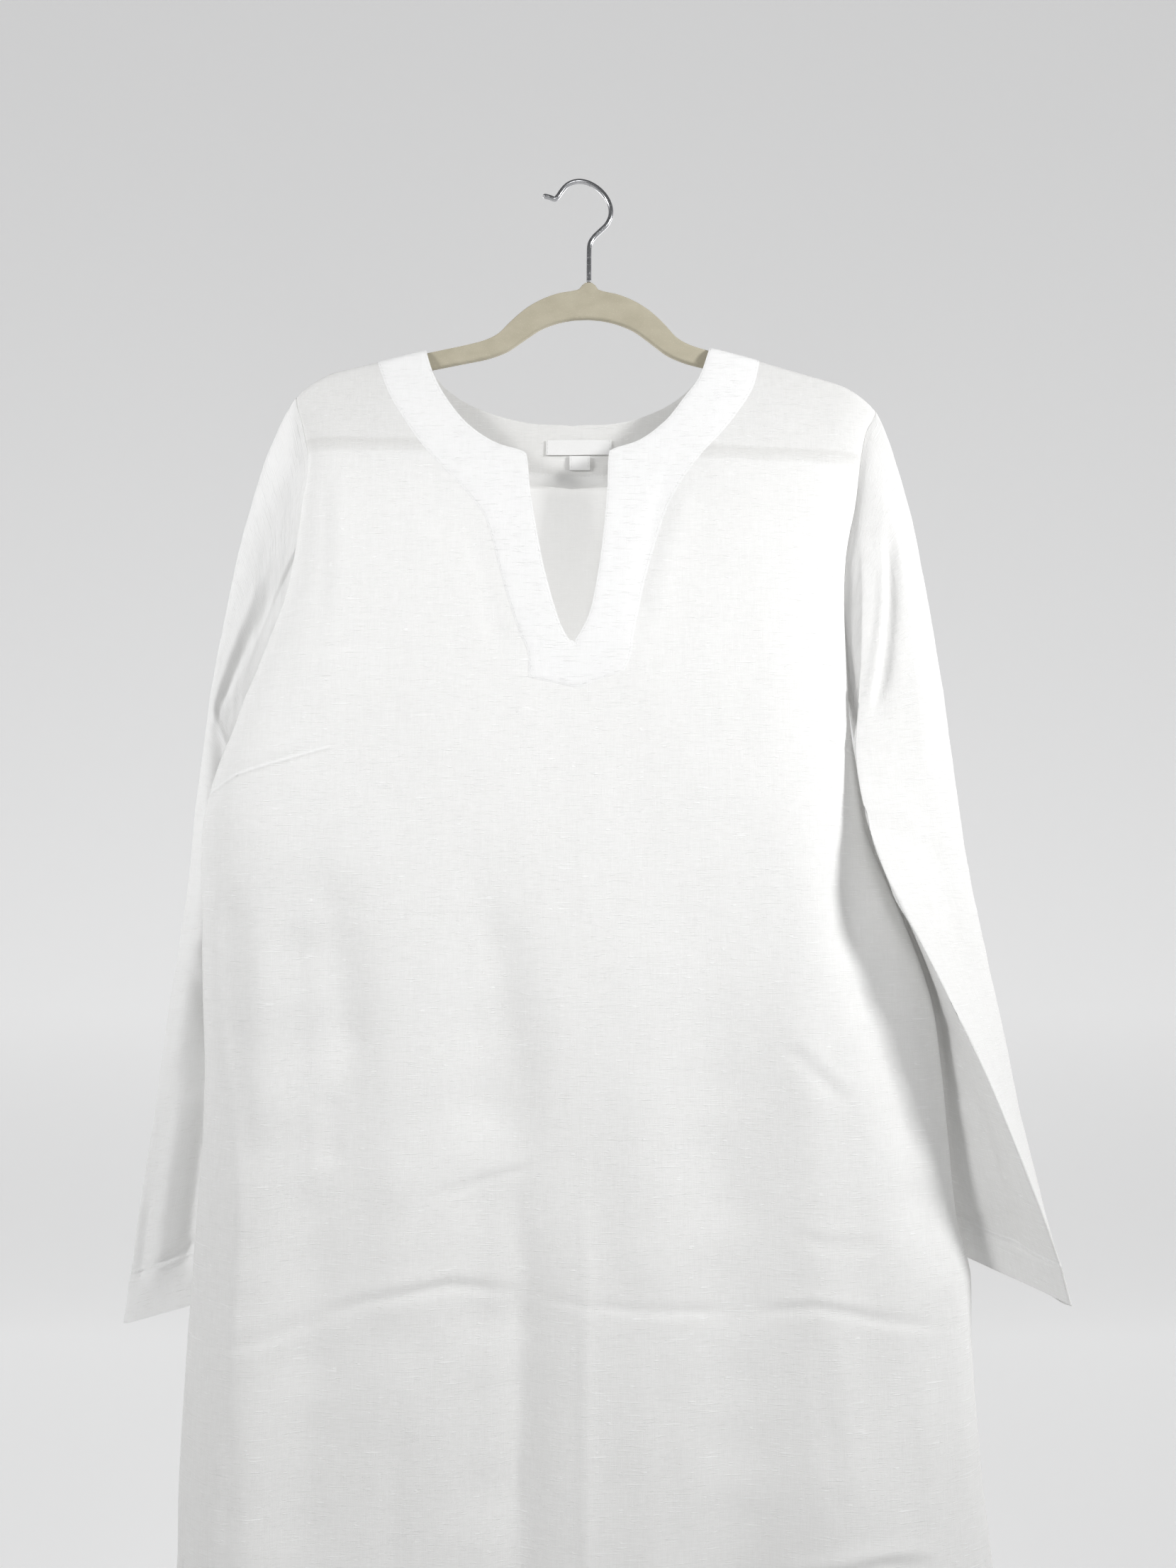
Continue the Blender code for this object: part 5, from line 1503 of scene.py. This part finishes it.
def flock():
    """Short velvet flocking: a fine nap, brushed a little one way here and there, and worn
    paler along the edges."""
    finish = Finish("hanger_flock", Roughness=0.95, Sheen_Weight=0.6, Sheen_Roughness=0.35)
    finish.shader.inputs["Sheen Tint"].default_value = (0.95, 0.92, 0.82, 1.0)
    x, y, z = finish.axes(finish.add("ShaderNodeTexCoord", {}, output=3), 0, 1, 2)
    nap = finish.noise(x + 0.7 * y, z - 0.6 * y, 2600.0, 2600.0, 1.0)
    brushed = finish.noise(x, z, 60.0, 90.0, 4.0)
    specks = finish.noise(x - y, z + y, 900.0, 900.0, 8.0, 0.0).between(0.68, 0.76)
    worn = y.math("ABSOLUTE").between(0.0016, 0.0006)
    shade = 0.40 + 0.6 * (nap - 0.5) + 0.7 * (brushed - 0.5) + 0.25 * specks + 0.12 * worn
    finish.feed(Base_Color=finish.tone(shade, (0.400, 0.362, 0.268), (0.585, 0.545, 0.430)))
    finish.feed(Normal=finish.bump(nap + 0.4 * brushed, 0.0004, 0.8))
    return finish.material


hanger_rings = []
for i in range(-HANGER_STEPS, HANGER_STEPS + 1):
    reach = HANGER_REACH * math.sin(abs(i) / HANGER_STEPS * math.pi / 2)
    place = STEM_X + (reach if i > 0 else -reach)
    hanger_rings.append(hanger_section(place, hanger_top(reach), hanger_bottom(reach)))
hanger_piece = tube("hanger_flocked", hanger_rings, flock())


# Hook. One bent steel wire, chromed, with a rounded tip. Its foot is set into the nub on top
# of the hanger's arch.
# Columns: x, z along the wire's middle
HOOK_FOOT = -0.0823
HOOK = (
    (-0.0276, -0.0106), (-0.0242, -0.0114), (-0.0199, -0.0129), (-0.0175, -0.0108),
    (-0.0148, -0.0066), (-0.0109, -0.0019), (-0.0064, 0.0008), (-0.0006, 0.0019),
    (0.0059, 0.0008), (0.0124, -0.0026), (0.0175, -0.0070), (0.0214, -0.0123),
    (0.0240, -0.0185), (0.0247, -0.0240), (0.0237, -0.0295), (0.0208, -0.0348),
    (0.0162, -0.0395), (0.0117, -0.0440), (0.0091, -0.0477), (0.0077, -0.0517),
    (0.0073, -0.0598), (0.0072, HOOK_FOOT),
)
WIRE_RADIUS = 0.0019
WIRE_STEPS = 150
WIRE_SIDES = 20
# Angles in degrees of the rings that round off the tip
TIP_ANGLES = (8, 25, 45, 65, 82)


def wire_path(count):
    """The hook's middle line, drawn smoothly through its points."""
    keys = [0.0]
    for a, b in zip(HOOK, HOOK[1:]):
        keys.append(keys[-1] + math.dist(a, b))
    return [Vector((curve_at(keys, [p[0] for p in HOOK], keys[-1] * i / count), 0,
                    curve_at(keys, [p[1] for p in HOOK], keys[-1] * i / count)))
            for i in range(count + 1)]


def wire_rings():
    """Rings along the wire, shrinking to a ball at its tip."""
    path = wire_path(WIRE_STEPS)
    rings = []
    for i, point in enumerate(path):
        along = (path[min(i + 1, len(path) - 1)] - path[max(i - 1, 0)]).normalized()
        across = Vector((-along.z, 0, along.x))
        steps = [math.radians(a) for a in TIP_ANGLES] if i == 0 else [math.pi / 2]
        for angle in steps:
            centre = point - along * WIRE_RADIUS * math.cos(angle) if i == 0 else point
            radius = WIRE_RADIUS * math.sin(angle)
            rings.append([centre + across * radius * math.cos(turn)
                          - Vector((0, 1, 0)) * radius * math.sin(turn)
                          for turn in (2 * math.pi * k / WIRE_SIDES
                                       for k in range(WIRE_SIDES))])
    return rings


def chrome():
    """Bright plating over drawn wire: faint draw lines, fine haze and a few dull spots."""
    finish = Finish("hook_chrome", Metallic=1.0, Roughness=0.2)
    x, z = finish.axes(finish.add("ShaderNodeTexCoord", {}, output=3), 0, 2)
    haze = finish.noise(x, z, 180.0, 180.0, 1.0)
    draw = finish.noise(x, z, 1500.0, 60.0, 5.0)
    spots = finish.noise(x, z, 700.0, 700.0, 9.0, 0.0).between(0.70, 0.78)
    shade = 0.45 + 0.5 * (haze - 0.5) - 0.35 * spots
    finish.feed(Base_Color=finish.tone(shade, (0.36, 0.36, 0.37), (0.66, 0.67, 0.69)))
    finish.feed(Roughness=0.15 + 0.16 * haze + 0.25 * spots)
    finish.feed(Normal=finish.bump(draw, 0.00006, 0.5))
    return finish.material


hook_piece = tube("hanger_hook_wire", wire_rings(), chrome())


# Stage. A pale seamless sweep well behind and below the dress, in soft studio light: the main
# light from the right, a weaker one from the left, a faint one in front, and two behind that
# shine through the cloth.
FLOOR_Z = -1.95
WALL_Y = 3.8
SWEEP_RADIUS = 0.9


def sweep():
    """Floor, curve and wall in one smooth sheet."""
    profile = [(-5.0, FLOOR_Z)]
    for i in range(25):
        angle = math.radians(90 * i / 24)
        profile.append((WALL_Y - SWEEP_RADIUS * (1 - math.sin(angle)),
                        FLOOR_Z + SWEEP_RADIUS * (1 - math.cos(angle))))
    profile.append((WALL_Y, 4.0))
    points = [(x, y, z) for y, z in profile for x in (-6.0, 6.0)]
    faces = [(2 * i, 2 * i + 1, 2 * i + 3, 2 * i + 2) for i in range(len(profile) - 1)]
    paint = Finish("backdrop_paint", Base_Color=(0.80, 0.80, 0.80, 1.0), Roughness=0.9,
                   Emission_Color=(1.0, 1.0, 1.0, 1.0), Emission_Strength=0.42)
    return smooth_object("backdrop", points, faces, paint.material)


def soft_light(name, place, target, size, power):
    """A square soft light that faces a point and isn't seen itself."""
    data = bpy.data.lights.new(name, "AREA")
    data.shape = "SQUARE"
    data.size = size
    data.energy = power
    data.spread = math.radians(100)
    made = placed(name, data)
    made.location = place
    made.rotation_euler = (Vector(target) - Vector(place)).to_track_quat("-Z", "Y").to_euler()
    made.visible_camera = False


# Columns: name, place, the point it faces, size, power in watts
LIGHTS = (
    ("light_right", (1.40, -0.72, 0.08), (0.0, 0.0, -0.46), 0.26, 7.1),
    ("light_left", (-1.45, -0.75, 0.16), (-0.1, 0.0, -0.44), 0.36, 4.8),
    ("light_front", (0.15, -2.00, 0.10), (0.0, 0.0, -0.44), 0.60, 2.2),
    ("light_behind_right", (1.0, 1.5, 0.2), (0.0, 0.0, -0.60), 0.90, 3.8),
    ("light_behind_left", (-1.1, 1.5, 0.0), (0.0, 0.0, -0.60), 0.90, 3.8),
)
for name, place, target, size, power in LIGHTS:
    soft_light(name, place, target, size, power)
world = bpy.data.worlds.new("surround")
world.use_nodes = True
world.node_tree.nodes["Background"].inputs["Color"].default_value = (0.97, 0.98, 1.0, 1.0)
world.node_tree.nodes["Background"].inputs["Strength"].default_value = 0.16
bpy.context.scene.world = world
sweep()


# What each piece stands for, and what carries it. The solid model's own part is hidden.
PIECES = (
    (front_piece, "dress_front"), (back_piece, "dress_back"), (band_piece, "neck_band"),
    (facing_piece, "back_facing"), (sleeve_left_piece, "sleeve_left"),
    (sleeve_right_piece, "sleeve_right"), (neck_label_piece, "neck_label"),
    (size_label_piece, "size_label"), (hanger_piece, "hanger"), (hook_piece, "hanger_hook"),
)
for piece, node in PIECES:
    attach(piece, "root")
    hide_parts(node)
